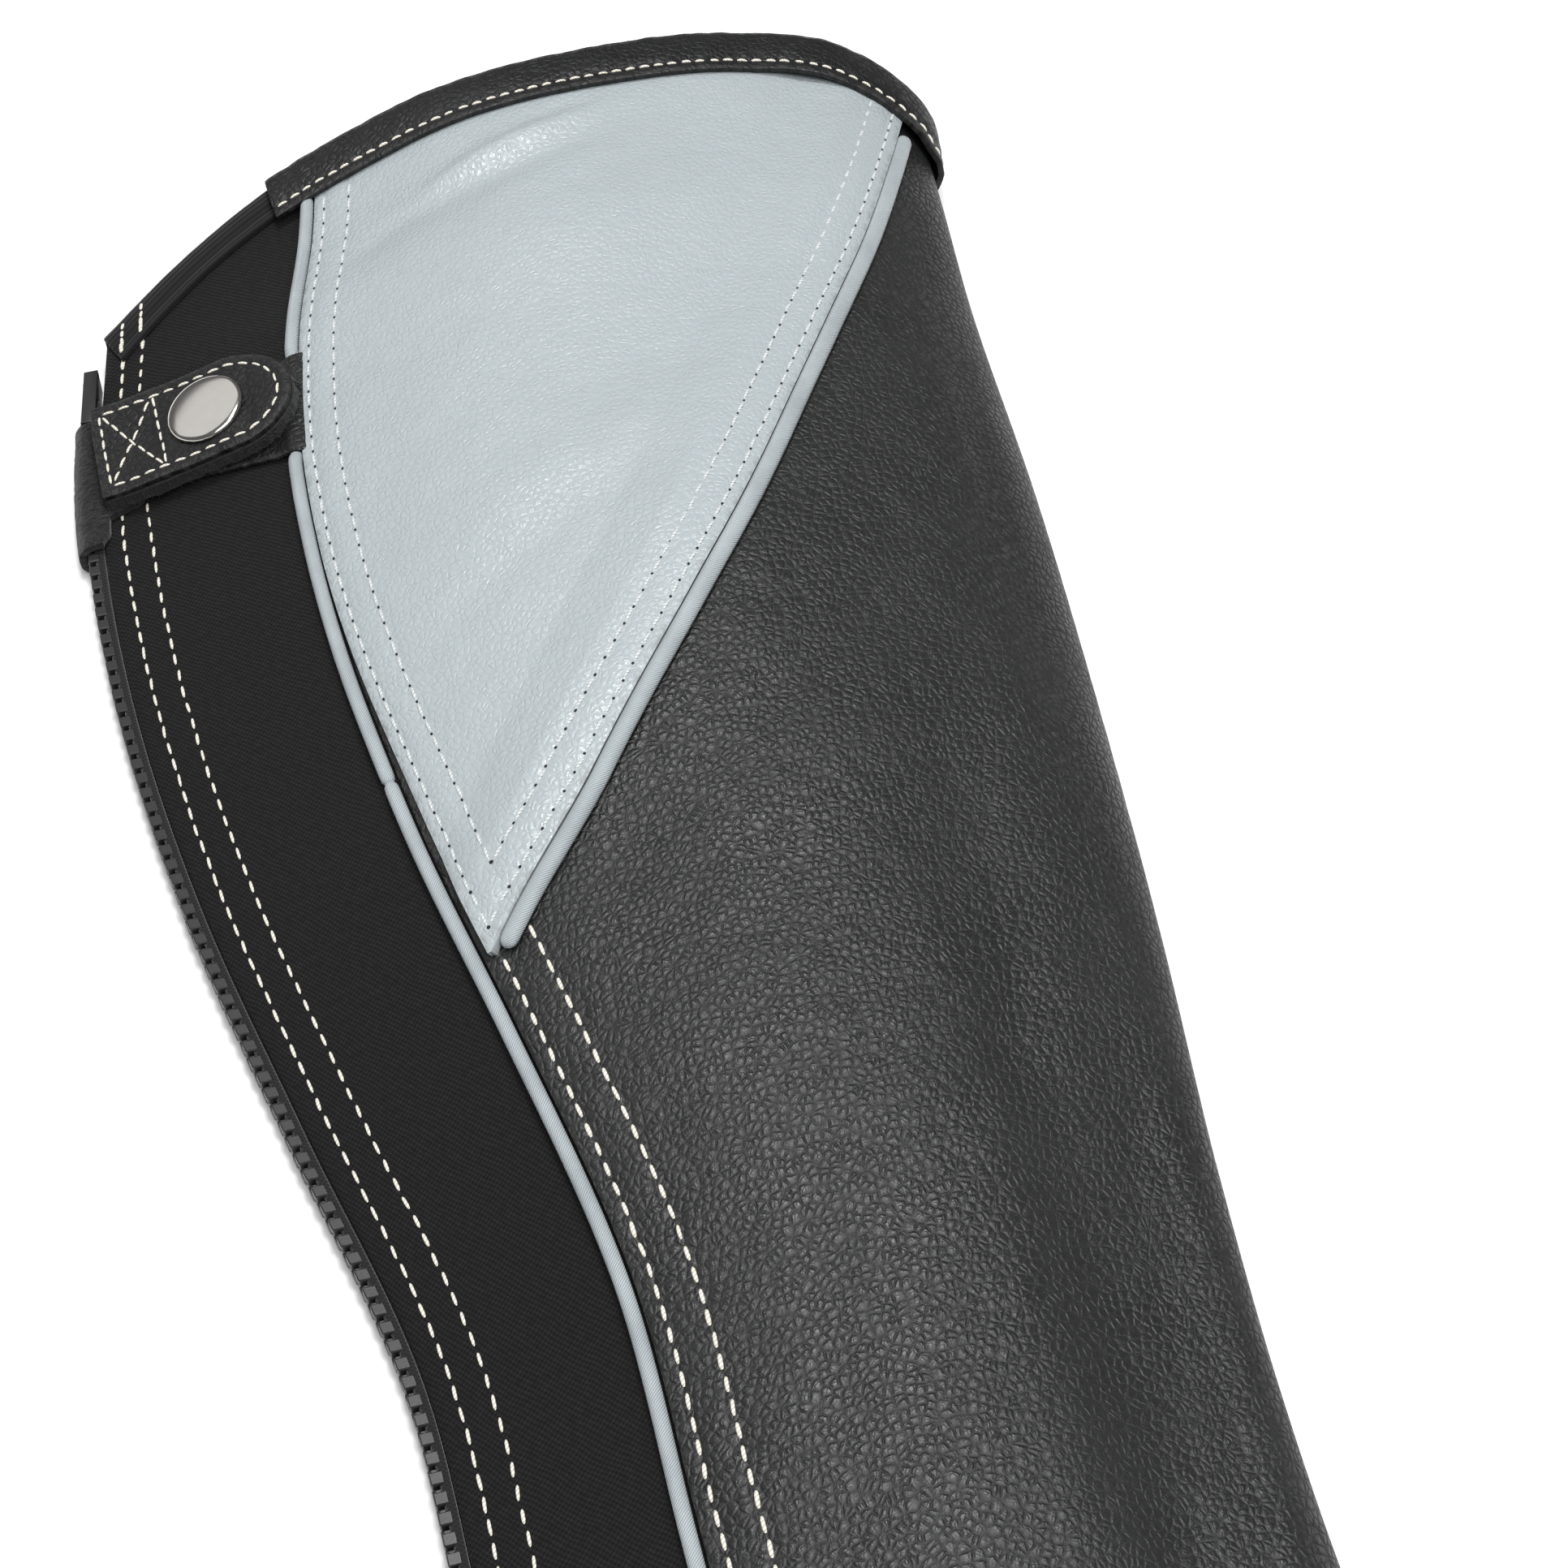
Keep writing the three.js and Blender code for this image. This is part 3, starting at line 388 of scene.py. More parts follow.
# %% [markdown]
# ## Tools of the bench
# A panel starts as a flat grid primitive, like a piece of leather on the cutting table. Its
# points are then laid on the skin, it gets its real thickness by a Solidify modifier, and a
# Bevel rounds its cut edge. The grid's own rows and columns give the two UV maps: "cut" is
# the flat leather in metres, for grain and weave, and "edge" is the distance from the two
# side edges, for the wear along them.

# %% Helpers for pieces
FLOOR_CLEARANCE = 0.02


def deselect():
    if bpy.context.object and bpy.context.object.mode != "OBJECT":
        bpy.ops.object.mode_set(mode="OBJECT")
    bpy.ops.object.select_all(action="DESELECT")


def select_only(piece):
    deselect()
    piece.select_set(True)
    bpy.context.view_layer.objects.active = piece


def primitive(name, add, **values):
    """Runs the operator that adds a mesh primitive, and names the new piece."""
    deselect()
    add(**values)
    piece = bpy.context.object
    piece.name = piece.data.name = name
    return piece


def finish_modifier(piece, kind, **values):
    """Adds one modifier, sets it and applies it."""
    select_only(piece)
    bpy.ops.object.modifier_add(type=kind)
    modifier = piece.modifiers[-1]
    for key, value in values.items():
        setattr(modifier, key, value)
    bpy.ops.object.modifier_apply(modifier=modifier.name)


def points_of(piece):
    at = np.empty(len(piece.data.vertices) * 3)
    piece.data.vertices.foreach_get("co", at)
    return at.reshape(-1, 3)


def name_cut_map(piece):
    """The primitive's own UV map becomes the map of the flat leather."""
    piece.data.uv_layers[0].name = "cut"


def flat_grid(name, columns, rows):
    """A grid primitive, and the column and row number of each of its points."""
    piece = primitive(name, bpy.ops.mesh.primitive_grid_add,
                      x_subdivisions=columns, y_subdivisions=rows, size=1)
    name_cut_map(piece)
    at = points_of(piece) + 0.5
    column = np.rint(at[:, 0] * columns).astype(int)
    row = np.rint(at[:, 1] * rows).astype(int)
    return piece, column, row


def put_points(piece, points_mm):
    """Places the points, in millimetres. What lies on the floor is pressed flat by it."""
    points_mm[:, 2] = np.maximum(points_mm[:, 2], FLOOR_CLEARANCE)
    piece.data.vertices.foreach_set("co", (points_mm * MM).astype(np.float32).ravel())
    piece.data.update()


def put_uv(piece, name, u_mm, v_mm):
    """A UV map in metres from one value per point."""
    mesh = piece.data
    layer = mesh.uv_layers.get(name) or mesh.uv_layers.new(name=name)
    point = np.empty(len(mesh.loops), int)
    mesh.loops.foreach_get("vertex_index", point)
    uv = np.stack([u_mm[point], v_mm[point]], axis=1) * MM
    layer.data.foreach_set("uv", uv.astype(np.float32).ravel())


def wear(piece, materials, smooth_angle=40):
    """Materials by slot, smooth shading, and riding on the part's only body."""
    piece.data.materials.clear()
    for material in materials:
        piece.data.materials.append(material)
    select_only(piece)
    bpy.ops.object.shade_smooth_by_angle(angle=math.radians(smooth_angle))
    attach(piece, "root")
    print(piece.name, len(piece.data.polygons), "faces")


def thicken(piece, thickness, edge, inside_slot=True):
    """Real thickness inwards, and a rounded cut edge."""
    finish_modifier(
        piece, "SOLIDIFY", thickness=thickness * MM, offset=-1.0, use_even_offset=False,
        material_offset=1 if inside_slot else 0, use_rim=True,
    )
    finish_modifier(
        piece, "BEVEL", width=edge * MM, segments=2, limit_method="ANGLE",
        angle_limit=math.radians(50), use_clamp_overlap=True,
    )


NARROWEST = 0.004  # share of the side, where two seams meet in a tip
SQUEEZED = 0.42  # most of a narrow row's width that one margin takes


def margin_columns(width, near, middle):
    """Distances from the left edge, close together along both edges, for each row width."""
    near = np.array(near, float)
    squeeze = np.minimum(1, SQUEEZED * width / near[-1])[:, None]
    left = near[None, :] * squeeze
    right = width[:, None] - left[:, ::-1]
    step = np.linspace(0, 1, middle + 2)[1:-1][None, :]
    centre = left[:, -1:] + step * (right[:, :1] - left[:, -1:])
    return np.concatenate([left, centre, right], axis=1)


def lay_panel(name, left, right, rows, near, middle, offset, thickness, edge=0.5,
              low=0.0, high=1.0):
    """A panel between two seams. left and right give across by height."""
    shares = np.linspace(low, high, rows + 1)
    lefts = np.array([float(on_row(left, s)) for s in shares])
    rights = np.array([float(on_row(right, s)) for s in shares])
    rights = np.maximum(rights, lefts + NARROWEST)
    middle_y = height_at((lefts + rights) / 2, shares)
    outer_girth, inner_girth = girth(0.5, middle_y), girth(1.5, middle_y)
    # a panel that goes round the fold has its width on both sides of it
    on_outer = np.minimum(rights, 1) - np.minimum(lefts, 1)
    on_inner = np.maximum(rights, 1) - np.maximum(lefts, 1)
    width = on_outer * outer_girth + on_inner * inner_girth
    distance = margin_columns(width, near, middle)
    piece, column, row = flat_grid(name, distance.shape[1] - 1, rows)
    d, start = distance[row, column], lefts[row]
    to_fold = np.maximum(1 - start, 0) * outer_girth[row]
    across = np.where(
        (start < 1) & (d <= to_fold), start + d / outer_girth[row],
        np.maximum(start, 1) + (d - to_fold) / inner_girth[row])
    y = height_at(across, shares[row])
    # distances square to the seams, not along the row
    lean_left = np.gradient(lefts * outer_girth.mean(), middle_y)[row]
    lean_right = np.gradient(rights * outer_girth.mean(), middle_y)[row]
    from_left = d / np.hypot(1, lean_left)
    from_right = (width[row] - d) / np.hypot(1, lean_right)
    side_girth = np.where(across <= 1, outer_girth[row], inner_girth[row])
    put_uv(piece, "cut", (across - 1) * side_girth, y)
    put_uv(piece, "edge", from_left, from_right)
    put_points(piece, skin(across, y, offset(across, y, from_left, from_right)))
    thicken(piece, thickness, edge)
    return piece


def row_of_stitches(distance, rows, depth=0.22, width=0.65):
    """How far the leather is pulled down beside rows of stitches."""
    return sum(-depth * np.exp(-(((distance - row) / width) ** 2)) for row in rows)


def puffed(distance, first, last, height):
    """Leather between two rows of stitches stands up a little."""
    share = np.clip((distance - first) / (last - first), 0, 1)
    return height * np.sin(np.pi * share) ** 0.8


# %% [markdown]
# ## Materials
# Each finish reads the flat map of its own piece, so its grain runs with the leather. What
# several finishes share is a node group with named sockets: the pebbled grain, the wear
# along cut edges and the weave. A pebble of the grain is a Voronoi cell with a round top and
# a narrow crease round it. Large and fine cells are pushed about by noise and joined.

# %% A short way to write node trees
class Wires:
    """The nodes and links of one material or group."""

    def __init__(self, tree):
        self.nodes, self.links = tree.nodes, tree.links

    def feed(self, node, values):
        """Sets inputs, found by name or number, or links another node's output to them."""
        for key, value in values.items():
            if isinstance(value, bpy.types.NodeSocket):
                self.links.new(value, node.inputs[key])
            else:
                node.inputs[key].default_value = value

    def add(self, kind, *values, **settings):
        """A new shader node with its settings, and values for its first inputs."""
        node = self.nodes.new("ShaderNode" + kind)
        for key, value in settings.items():
            setattr(node, key, value)
        self.feed(node, dict(enumerate(values)))
        return node

    def math(self, operation, *values):
        return self.add("Math", *values, operation=operation).outputs[0]

    def ramp(self, value, low, high, out_low=0.0, out_high=1.0):
        """Turns low..high into out_low..out_high, with soft ends."""
        return self.add("MapRange", value, low, high, out_low, out_high,
                        interpolation_type="SMOOTHSTEP").outputs[0]

    def mix(self, share, a, b):
        """From colour a to colour b. A plain colour is a tuple of red, green and blue."""
        node = self.add("Mix", data_type="RGBA")
        a, b = ((*c, 1.0) if isinstance(c, tuple) else c for c in (a, b))
        self.feed(node, {"Factor": share, 6: a, 7: b})
        return node.outputs[2]

    def uv(self, name):
        return self.add("UVMap", uv_map=name).outputs[0]

    def split(self, vector):
        return self.add("SeparateXYZ", vector).outputs[:2]

    def noise(self, vector, scale, detail=3.0, rough=0.5, output="Fac"):
        node = self.add("TexNoise")
        self.feed(node, {"Vector": vector, "Scale": scale, "Detail": detail, "Roughness": rough})
        return node.outputs[output]

    def cells(self, vector, scale, feature, **values):
        node = self.add("TexVoronoi", voronoi_dimensions="2D", feature=feature)
        self.feed(node, {"Vector": vector, "Scale": scale, **values})
        return node.outputs["Distance"]

    def ridges(self, value, pitch_mm):
        """A row of round ridges, one per pitch."""
        turned = self.math("MULTIPLY", value, math.pi / (pitch_mm * MM))
        return self.math("ABSOLUTE", self.math("SINE", turned))

    def bump(self, height, height_mm, under=None):
        """A normal from a height, on top of another normal where one is given."""
        node = self.add("Bump")
        self.feed(node, {"Strength": 1.0, "Distance": height_mm * MM, "Height": height})
        if under is not None:
            self.feed(node, {"Normal": under})
        return node.outputs[0]

    def group(self, tree, values):
        """A node group, placed with this material's own values."""
        node = self.add("Group", node_tree=tree)
        self.feed(node, values)
        return node.outputs


def new_material(name):
    material = bpy.data.materials.new(name)
    material.use_nodes = True
    tree = material.node_tree
    return material, Wires(tree), tree.nodes["Principled BSDF"]


def new_group(name, inputs, outputs):
    """A node group with a Vector input, the named number inputs and number outputs."""
    group = bpy.data.node_groups.new(name, "ShaderNodeTree")
    group.interface.new_socket(name="Vector", in_out="INPUT", socket_type="NodeSocketVector")
    for socket_name, value in inputs.items():
        kind = "NodeSocketVector" if value is None else "NodeSocketFloat"
        socket = group.interface.new_socket(name=socket_name, in_out="INPUT", socket_type=kind)
        if value is not None:
            socket.default_value = value
    for socket_name in outputs:
        group.interface.new_socket(
            name=socket_name, in_out="OUTPUT", socket_type="NodeSocketFloat")
    given, result = group.nodes.new("NodeGroupInput"), group.nodes.new("NodeGroupOutput")
    return group, Wires(group), given.outputs, result


# %% Leather: the grain, the wear along its cut edges, and the material
def make_grain_group():
    group, wires, given, result = new_group(
        "leather_grain", {"Cells per metre": 600.0, "Evenness": 0.5},
        ("Height", "Crease", "Patches"))
    vector, cells = given["Vector"], given["Cells per metre"]
    # the cells are pulled about by noise, so that their edges wander
    pull = wires.noise(vector, wires.math("MULTIPLY", cells, 0.6), 1.5, output="Color")
    centred = wires.add("VectorMath", pull, (0.5, 0.5, 0.5), operation="SUBTRACT").outputs[0]
    scaled = wires.add("VectorMath", centred, operation="SCALE")
    wires.feed(scaled, {"Scale": wires.math("DIVIDE", 0.62, cells)})
    pulled = wires.add("VectorMath", vector, scaled.outputs[0], operation="ADD").outputs[0]

    def cell_tops(scale, high):
        """0 in the crease, 1 over the cell, with a round shoulder between them."""
        edge = wires.ramp(wires.cells(pulled, scale, "DISTANCE_TO_EDGE"), 0.0, high)
        rest = wires.math("POWER", wires.math("SUBTRACT", 1.0, edge), 2.0)
        return wires.math("SUBTRACT", 1.0, rest)

    # each pebble is highest in its middle, so it is round and not a flat tile
    middle = wires.cells(pulled, cells, "SMOOTH_F1", Smoothness=0.6)
    fall = wires.ramp(middle, 0.0, 0.8, 1.0, 0.35)
    large = wires.math("MULTIPLY", cell_tops(cells, 0.3), fall)
    small = cell_tops(wires.math("MULTIPLY", cells, 1.9), 0.34)
    # in some patches the large pebbles stand out, in others the fine ones
    patches = wires.noise(vector, wires.math("MULTIPLY", cells, 0.06), 3.0, 0.6)
    patch = wires.ramp(patches, 0.32, 0.68)
    share = wires.math("MULTIPLY", patch, wires.math("SUBTRACT", 1.0, given["Evenness"]))
    tall = wires.math("MULTIPLY", large, wires.math("SUBTRACT", 0.9, share))
    low = wires.math("MULTIPLY", small, wires.math("MULTIPLY_ADD", share, 0.5, 0.16))
    wires.feed(result, {
        "Height": wires.math("ADD", tall, low),
        "Crease": wires.math("SUBTRACT", 1.0, large),
        "Patches": patch,
    })
    return group


def make_wear_group():
    """Scuffs near a cut edge, in patches, from the map of distances to the edges."""
    group, wires, given, result = new_group(
        "edge_wear", {"Edge distance": None, "Width": 0.0015}, ("Wear",))
    nearest = wires.math("MINIMUM", *wires.split(given["Edge distance"]))
    near = wires.ramp(nearest, 0.0, given["Width"], 1.0, 0.0)
    rubbed = wires.ramp(wires.noise(given["Vector"], 420.0, 4.0, 0.65), 0.42, 0.62)
    wires.feed(result, {"Wear": wires.math("MULTIPLY", near, rubbed)})
    return group


grain_group = make_grain_group()
wear_group = make_wear_group()
WORN_EDGE = 1.6
SCUFFED_BLACK = (0.03, 0.029, 0.028)


def make_leather(name, colour, crease_shade_colour, worn_colour, cells, depth_mm, rough, evenness,
                 specular, coarse_mm=0.12):
    """Grained leather. Its creases are coloured darker, as painted shade, and are duller than the
    tops of the grain.
    """
    material, wires, shader = new_material(name)
    flat = wires.uv("cut")
    out = wires.group(grain_group, {
        "Vector": flat, "Cells per metre": cells, "Evenness": evenness})
    worn = wires.group(wear_group, {
        "Vector": flat, "Edge distance": wires.uv("edge"), "Width": WORN_EDGE * MM})["Wear"]
    # painted shade: the creases between the pebbles are coloured darker than their tops
    tone = wires.mix(wires.math("MULTIPLY", out["Crease"], 0.7), colour, crease_shade_colour)
    tone = wires.mix(wires.math("MULTIPLY", out["Patches"], 0.22), tone,
                     tuple(c * 0.86 for c in colour))
    for mask, duller in ((out["Crease"], 0.22), (worn, 0.25), (out["Patches"], 0.07)):
        rough = wires.math("MULTIPLY_ADD", mask, duller, rough)
    # three sizes of relief: soft lumps, the grain, and a fine tooth on the pebbles
    normal = wires.bump(wires.noise(flat, 95.0, 3.0, 0.55), coarse_mm * 6)
    normal = wires.bump(out["Height"], depth_mm, normal)
    normal = wires.bump(wires.noise(flat, 4200.0, 2.0), 0.012, normal)
    wires.feed(shader, {
        "Base Color": wires.mix(worn, tone, worn_colour), "Roughness": rough,
        "Specular IOR Level": specular, "Normal": normal})
    return material


# the second colour of each leather is the painted shade in its creases
black_leather = make_leather(
    "black_leather", (0.0085, 0.009, 0.0092), (0.002, 0.002, 0.0022), SCUFFED_BLACK,
    620.0, 0.17, 0.37, evenness=0.9, specular=0.6)
binding_leather = make_leather(
    "binding_leather", (0.007, 0.0073, 0.0077), (0.002, 0.002, 0.0022), SCUFFED_BLACK,
    620.0, 0.13, 0.34, evenness=0.7, specular=0.42)
pale_leather = make_leather(
    "pale_leather", (0.372, 0.413, 0.43), (0.355, 0.395, 0.412), (0.27, 0.29, 0.295),
    700.0, 0.105, 0.21, evenness=0.8, specular=0.5, coarse_mm=0.09)

# %% Woven cloth
def make_weave_group():
    """Two rows of waves, warp and weft, that cross each other and wander a little."""
    group, wires, given, result = new_group(
        "plain_weave", {"Warp pitch": 0.0005, "Weft pitch": 0.0005}, ("Height", "Slubs"))
    vector = given["Vector"]
    shift = wires.math("MULTIPLY_ADD", wires.noise(vector, 90.0, 2.0), 0.0011, -0.00055)
    waves = []
    for value, pitch in zip(wires.split(vector), ("Warp pitch", "Weft pitch")):
        turns = wires.math("DIVIDE", wires.math("ADD", value, shift), given[pitch])
        waves.append(wires.math("SINE", wires.math("MULTIPLY", turns, math.tau)))
    wires.feed(result, {
        "Height": wires.math("MULTIPLY_ADD", wires.math("MULTIPLY", *waves), 0.5, 0.5),
        "Slubs": wires.noise(vector, 700.0, 3.0, 0.6),
    })
    return group


weave_group = make_weave_group()


def make_cloth(name, colour, light, warp_mm, weft_mm, depth_mm, sheen):
    material, wires, shader = new_material(name)
    weave = wires.group(weave_group, {
        "Vector": wires.uv("cut"), "Warp pitch": warp_mm * MM, "Weft pitch": weft_mm * MM})
    # painted shade: the gaps of the weave are coloured darker and the yarn tops lighter, varied by
    # the slubs' own tone
    share = wires.math("MULTIPLY", weave["Height"], weave["Slubs"])
    under = wires.bump(weave["Slubs"], 0.05)
    wires.feed(shader, {
        "Base Color": wires.mix(share, colour, light), "Roughness": 0.9,
        "Sheen Weight": sheen, "Sheen Roughness": 0.45, "Specular IOR Level": 0.25,
        "Normal": wires.bump(weave["Height"], depth_mm, under)})
    return material


# the second colour of each cloth is the lighter colour painted on its yarn tops
stretch_cloth = make_cloth(
    "stretch_cloth", (0.001, 0.001, 0.001), (0.024, 0.024, 0.0245), 1.1, 1.06, 0.24, 0.03)
tape_cloth = make_cloth(
    "tape_cloth", (0.008, 0.008, 0.0085), (0.026, 0.026, 0.027), 1.2, 0.8, 0.09, 0.25)

# %% Elastic, piping, felt, thread, plastic and metal
def make_elastic(name):
    """Elastic has rubber cords along it, so it is ribbed, and threads wound across them."""
    material, wires, shader = new_material(name)
    u, v = wires.split(wires.uv("cut"))
    ribs, wound = wires.ridges(v, 1.25), wires.ridges(u, 0.45)
    # painted shade: the grooves between the ribs and the wound threads are coloured darker than
    # their tops
    wires.feed(shader, {
        "Base Color": wires.mix(wires.math("MULTIPLY", ribs, wound),
                                (0.004, 0.004, 0.0042), (0.014, 0.014, 0.0145)),
        "Roughness": 0.9, "Sheen Weight": 0.12, "Specular IOR Level": 0.2,
        "Normal": wires.bump(wires.math("MULTIPLY_ADD", wound, 0.3, ribs), 0.14)})
    return material


def make_piping(name):
    """Piping is a strip of thin fabric folded over a cord. Its fine ribs run aslant."""
    material, wires, shader = new_material(name)
    flat = wires.uv("cut")
    u, v = wires.split(flat)
    ribs = wires.ridges(wires.math("MULTIPLY_ADD", u, 0.9, v), 0.55)
    dirt = wires.ramp(wires.noise(flat, 60.0, 4.0, 0.6), 0.35, 0.75)
    tone = wires.mix(dirt, (0.42, 0.47, 0.49), (0.33, 0.37, 0.39))
    # painted shade: the valleys between the ribs are coloured darker
    rib_valley_shade = wires.math("MULTIPLY_ADD", ribs, -0.5, 0.5)
    wires.feed(shader, {
        "Base Color": wires.mix(rib_valley_shade, tone, (0.22, 0.235, 0.245)),
        "Roughness": 0.42, "Sheen Weight": 0.1, "Normal": wires.bump(ribs, 0.11)})
    return material


def make_fuzzy(name, colour, light, scale, depth_mm, sheen):
    """Suede and felt: short fibres that lie every way, in lighter and darker patches."""
    material, wires, shader = new_material(name)
    flat = wires.uv("cut")
    nap = wires.noise(flat, scale, 5.0, 0.7)
    patches = wires.ramp(wires.noise(flat, 70.0, 4.0, 0.65), 0.3, 0.7, 0.35, 1.0)
    share = wires.math("MULTIPLY", wires.ramp(nap, 0.35, 0.7), patches)
    wires.feed(shader, {
        "Base Color": wires.mix(share, colour, light), "Roughness": 0.96,
        "Sheen Weight": sheen, "Sheen Roughness": 0.5, "Specular IOR Level": 0.15,
        "Normal": wires.bump(nap, depth_mm)})
    return material


def make_thread(name, colour, shade):
    """Two plies twisted together: slanting dark lines on a slightly waxy yarn."""
    material, wires, shader = new_material(name)
    u, v = wires.split(wires.uv("cut"))
    twist = wires.math("MULTIPLY", wires.math("MULTIPLY_ADD", v, 3.0, u), math.tau)
    lines = wires.ramp(wires.math("ABSOLUTE", wires.math("SINE", twist)), 0.0, 0.5)
    wires.feed(shader, {
        "Base Color": wires.mix(lines, shade, colour), "Roughness": 0.55,
        "Sheen Weight": 0.2, "Normal": wires.bump(lines, 0.05)})
    return material


def make_plain(name, colour, rough, metal=0.0, mottle=0.1, grit_mm=0.006):
    """Moulded plastic or metal, with faint mottling of its gloss."""
    material, wires, shader = new_material(name)
    place = wires.add("TexCoord").outputs["Object"]
    soft = wires.noise(place, 120.0, 4.0, 0.6)
    fine = wires.noise(place, 2160.0, 3.0, 0.6)
    wires.feed(shader, {
        "Base Color": wires.mix(soft, colour, tuple(c * 0.8 for c in colour)),
        "Roughness": wires.math("MULTIPLY_ADD", soft, mottle, rough),
        "Metallic": metal, "Normal": wires.bump(fine, grit_mm)})
    return material


elastic = make_elastic("ribbed_elastic")
piping_cloth = make_piping("piping_cloth")
suede = make_fuzzy(
    "suede_inside", (0.014, 0.0135, 0.0135), (0.055, 0.053, 0.052), 700.0, 0.14, 0.5)
felt = make_fuzzy("felt", (0.004, 0.004, 0.0042), (0.024, 0.024, 0.0245), 900.0, 0.5, 0.22)
cream_thread = make_thread("cream_thread", (0.80, 0.765, 0.67), (0.42, 0.37, 0.27))
pale_thread = make_thread("pale_thread", (0.62, 0.65, 0.65), (0.30, 0.31, 0.30))
# painted shade: the near-black colour of the needle holes stands for the shade inside them
needle_hole_shade = make_plain("needle_hole_shade", (0.012, 0.012, 0.013), 0.9)
zip_plastic = make_plain("zip_plastic", (0.011, 0.011, 0.012), 0.36, grit_mm=0.02)
slider_enamel = make_plain("slider_enamel", (0.010, 0.010, 0.011), 0.26)
nickel = make_plain(
    "polished_nickel", (0.70, 0.68, 0.64), 0.13, metal=1.0, mottle=0.06, grit_mm=0.0015)

# %% [markdown]
# ## The leather and cloth panels
# The panels come first, from the inner side outwards: stretch cloth behind, black leather
# round the front, the pale calf panel lapped over both. Each is pulled down along its rows
# of stitches and stands up between them, as sewn leather does.

# %% Main leather, inner leather, stretch cloth and calf panel
NEAR = [0, 0.8, 1.5, 2.2, 2.9, 3.8, 5.0, 6.4, 7.5, 8.6, 10.0]
BACK_ROWS = (3.2, 9.8)  # stitches beside the back seam, from the leather's edge
CALF_BACK_ROWS = (2.2, 7.6)
CALF_FRONT_ROWS = (2.4, 7.6)
INNER_ROWS = (2.0, 7.5)
ZIP_ROWS = (3.8, 9.2)
UNDER_ZIP_ROWS = (3.5, 9.0)
OUTER_ZIP, INNER_ZIP = 0.0001, 1.9995  # across, a hair inside the skin


def zip_edge(y):
    return moved(OUTER_ZIP, y, GAP)


def under_zip_edge(y):
    return moved(INNER_ZIP, y, -GAP)


def shows_seam(y):
    """1 where the main leather's back edge is seen, 0 where the calf panel covers it."""
    return ease((CALF_SEAM[0, 0] * BODY_HEIGHT - 2 - y) / 8)


def main_offset(across, y, left, right):
    off = shows_seam(y) * (row_of_stitches(left, BACK_ROWS) + puffed(left, *BACK_ROWS, 0.12))
    off = off + row_of_stitches(right, INNER_ROWS, 0.12)
    return off - 0.2 * np.exp(-((left / 0.9) ** 2)) - 0.1 * np.exp(-((right / 0.9) ** 2))


main_leather = lay_panel(
    "main_leather", main_edge, inner_seam, 210, NEAR, 84, main_offset, LEATHER)
wear(main_leather, [black_leather, suede])
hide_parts("main_panel")


def inner_offset(across, y, left, right):
    beyond = (across - inner_seam(y)) * girth(across, y) - 1
    off = -(LEATHER + GAP) * np.clip(1 - beyond / 8, 0, 1)
    return off + row_of_stitches(right, UNDER_ZIP_ROWS, 0.12)


inner_leather = lay_panel(
    "inner_leather", lambda y: moved(inner_seam(y), y, -LAP),
    under_zip_edge, 200, NEAR, 60, inner_offset, LEATHER)
wear(inner_leather, [black_leather, suede])
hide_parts("inner_panel")


def stretch_offset(across, y, left, right):
    roll = 0.2 * np.exp(-(((left - 1.8) / 1.4) ** 2)) - 0.45 * np.exp(-((left / 0.8) ** 2))
    return CLOTH_TOP + roll + row_of_stitches(left, ZIP_ROWS, 0.16, 0.8)


stretch_back = lay_panel(
    "stretch_back", zip_edge, lambda y: moved(back_seam(y), y, LAP),
    200, NEAR, 30, stretch_offset, CLOTH)
wear(stretch_back, [stretch_cloth, tape_cloth])
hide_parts("stretch_panel")

# the cloth's own cut: its width over the curve at each height
cut_step = 1.0
cut_y = np.arange(hem_y(0.1), top_y(0.1), cut_step)
cut_width = (moved(back_seam(cut_y), cut_y, LAP) - OUTER_ZIP) * girth(0.1, cut_y)

# %% The calf panel
CALF_TIP = CALF_SEAM[0, 0] * BODY_HEIGHT


def calf_offset(across, y, left, right):
    beyond = (main_edge(y) - across) * girth(across, y) - 1
    lift = (LEATHER + GAP) * np.clip(1 - beyond / 12, 0, 1)
    off = lift + row_of_stitches(left, CALF_BACK_ROWS, 0.16) + puffed(left, *CALF_BACK_ROWS, 0.1)
    off = off + row_of_stitches(right, CALF_FRONT_ROWS, 0.16) + puffed(right, *CALF_FRONT_ROWS, 0.12)
    return off - 0.15 * np.exp(-((left / 0.8) ** 2)) - 0.15 * np.exp(-((right / 0.8) ** 2))


def calf_left(y):
    """The panel's back edge stands off the piping a little towards its tip."""
    return moved(back_seam(y), y, 1.5 * ease((318 - y) / 80))


calf_low = float((CALF_TIP - hem_y(0.258)) / (top_y(0.25) - hem_y(0.25)))
calf_leather = lay_panel(
    "calf_leather", calf_left, calf_seam, 118, NEAR, 62, calf_offset, LEATHER, low=calf_low)
wear(calf_leather, [pale_leather, suede])
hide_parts("calf_panel")

# %% [markdown]
# ## Piping
# Piping is a thin cord covered with fabric, sewn into the seam so that only the cord shows.
# A grid is rolled up round the seam's path: its columns go round the cord, its rows along
# it, and the two long edges are merged into one.

# %% Roll a grid round a path
def face_outwards(piece, close=False):
    """Turns all faces outwards. close merges a rolled grid's long seam and fills its ends."""
    select_only(piece)
    bpy.ops.object.mode_set(mode="EDIT")
    bpy.ops.mesh.select_all(action="SELECT")
    if close:
        bpy.ops.mesh.remove_doubles(threshold=1e-6)
        bpy.ops.mesh.select_all(action="SELECT")
        bpy.ops.mesh.fill_holes(sides=0)
        bpy.ops.mesh.select_all(action="SELECT")
    bpy.ops.mesh.normals_make_consistent(inside=False)
    bpy.ops.object.mode_set(mode="OBJECT")


ROUND_END = 2.0


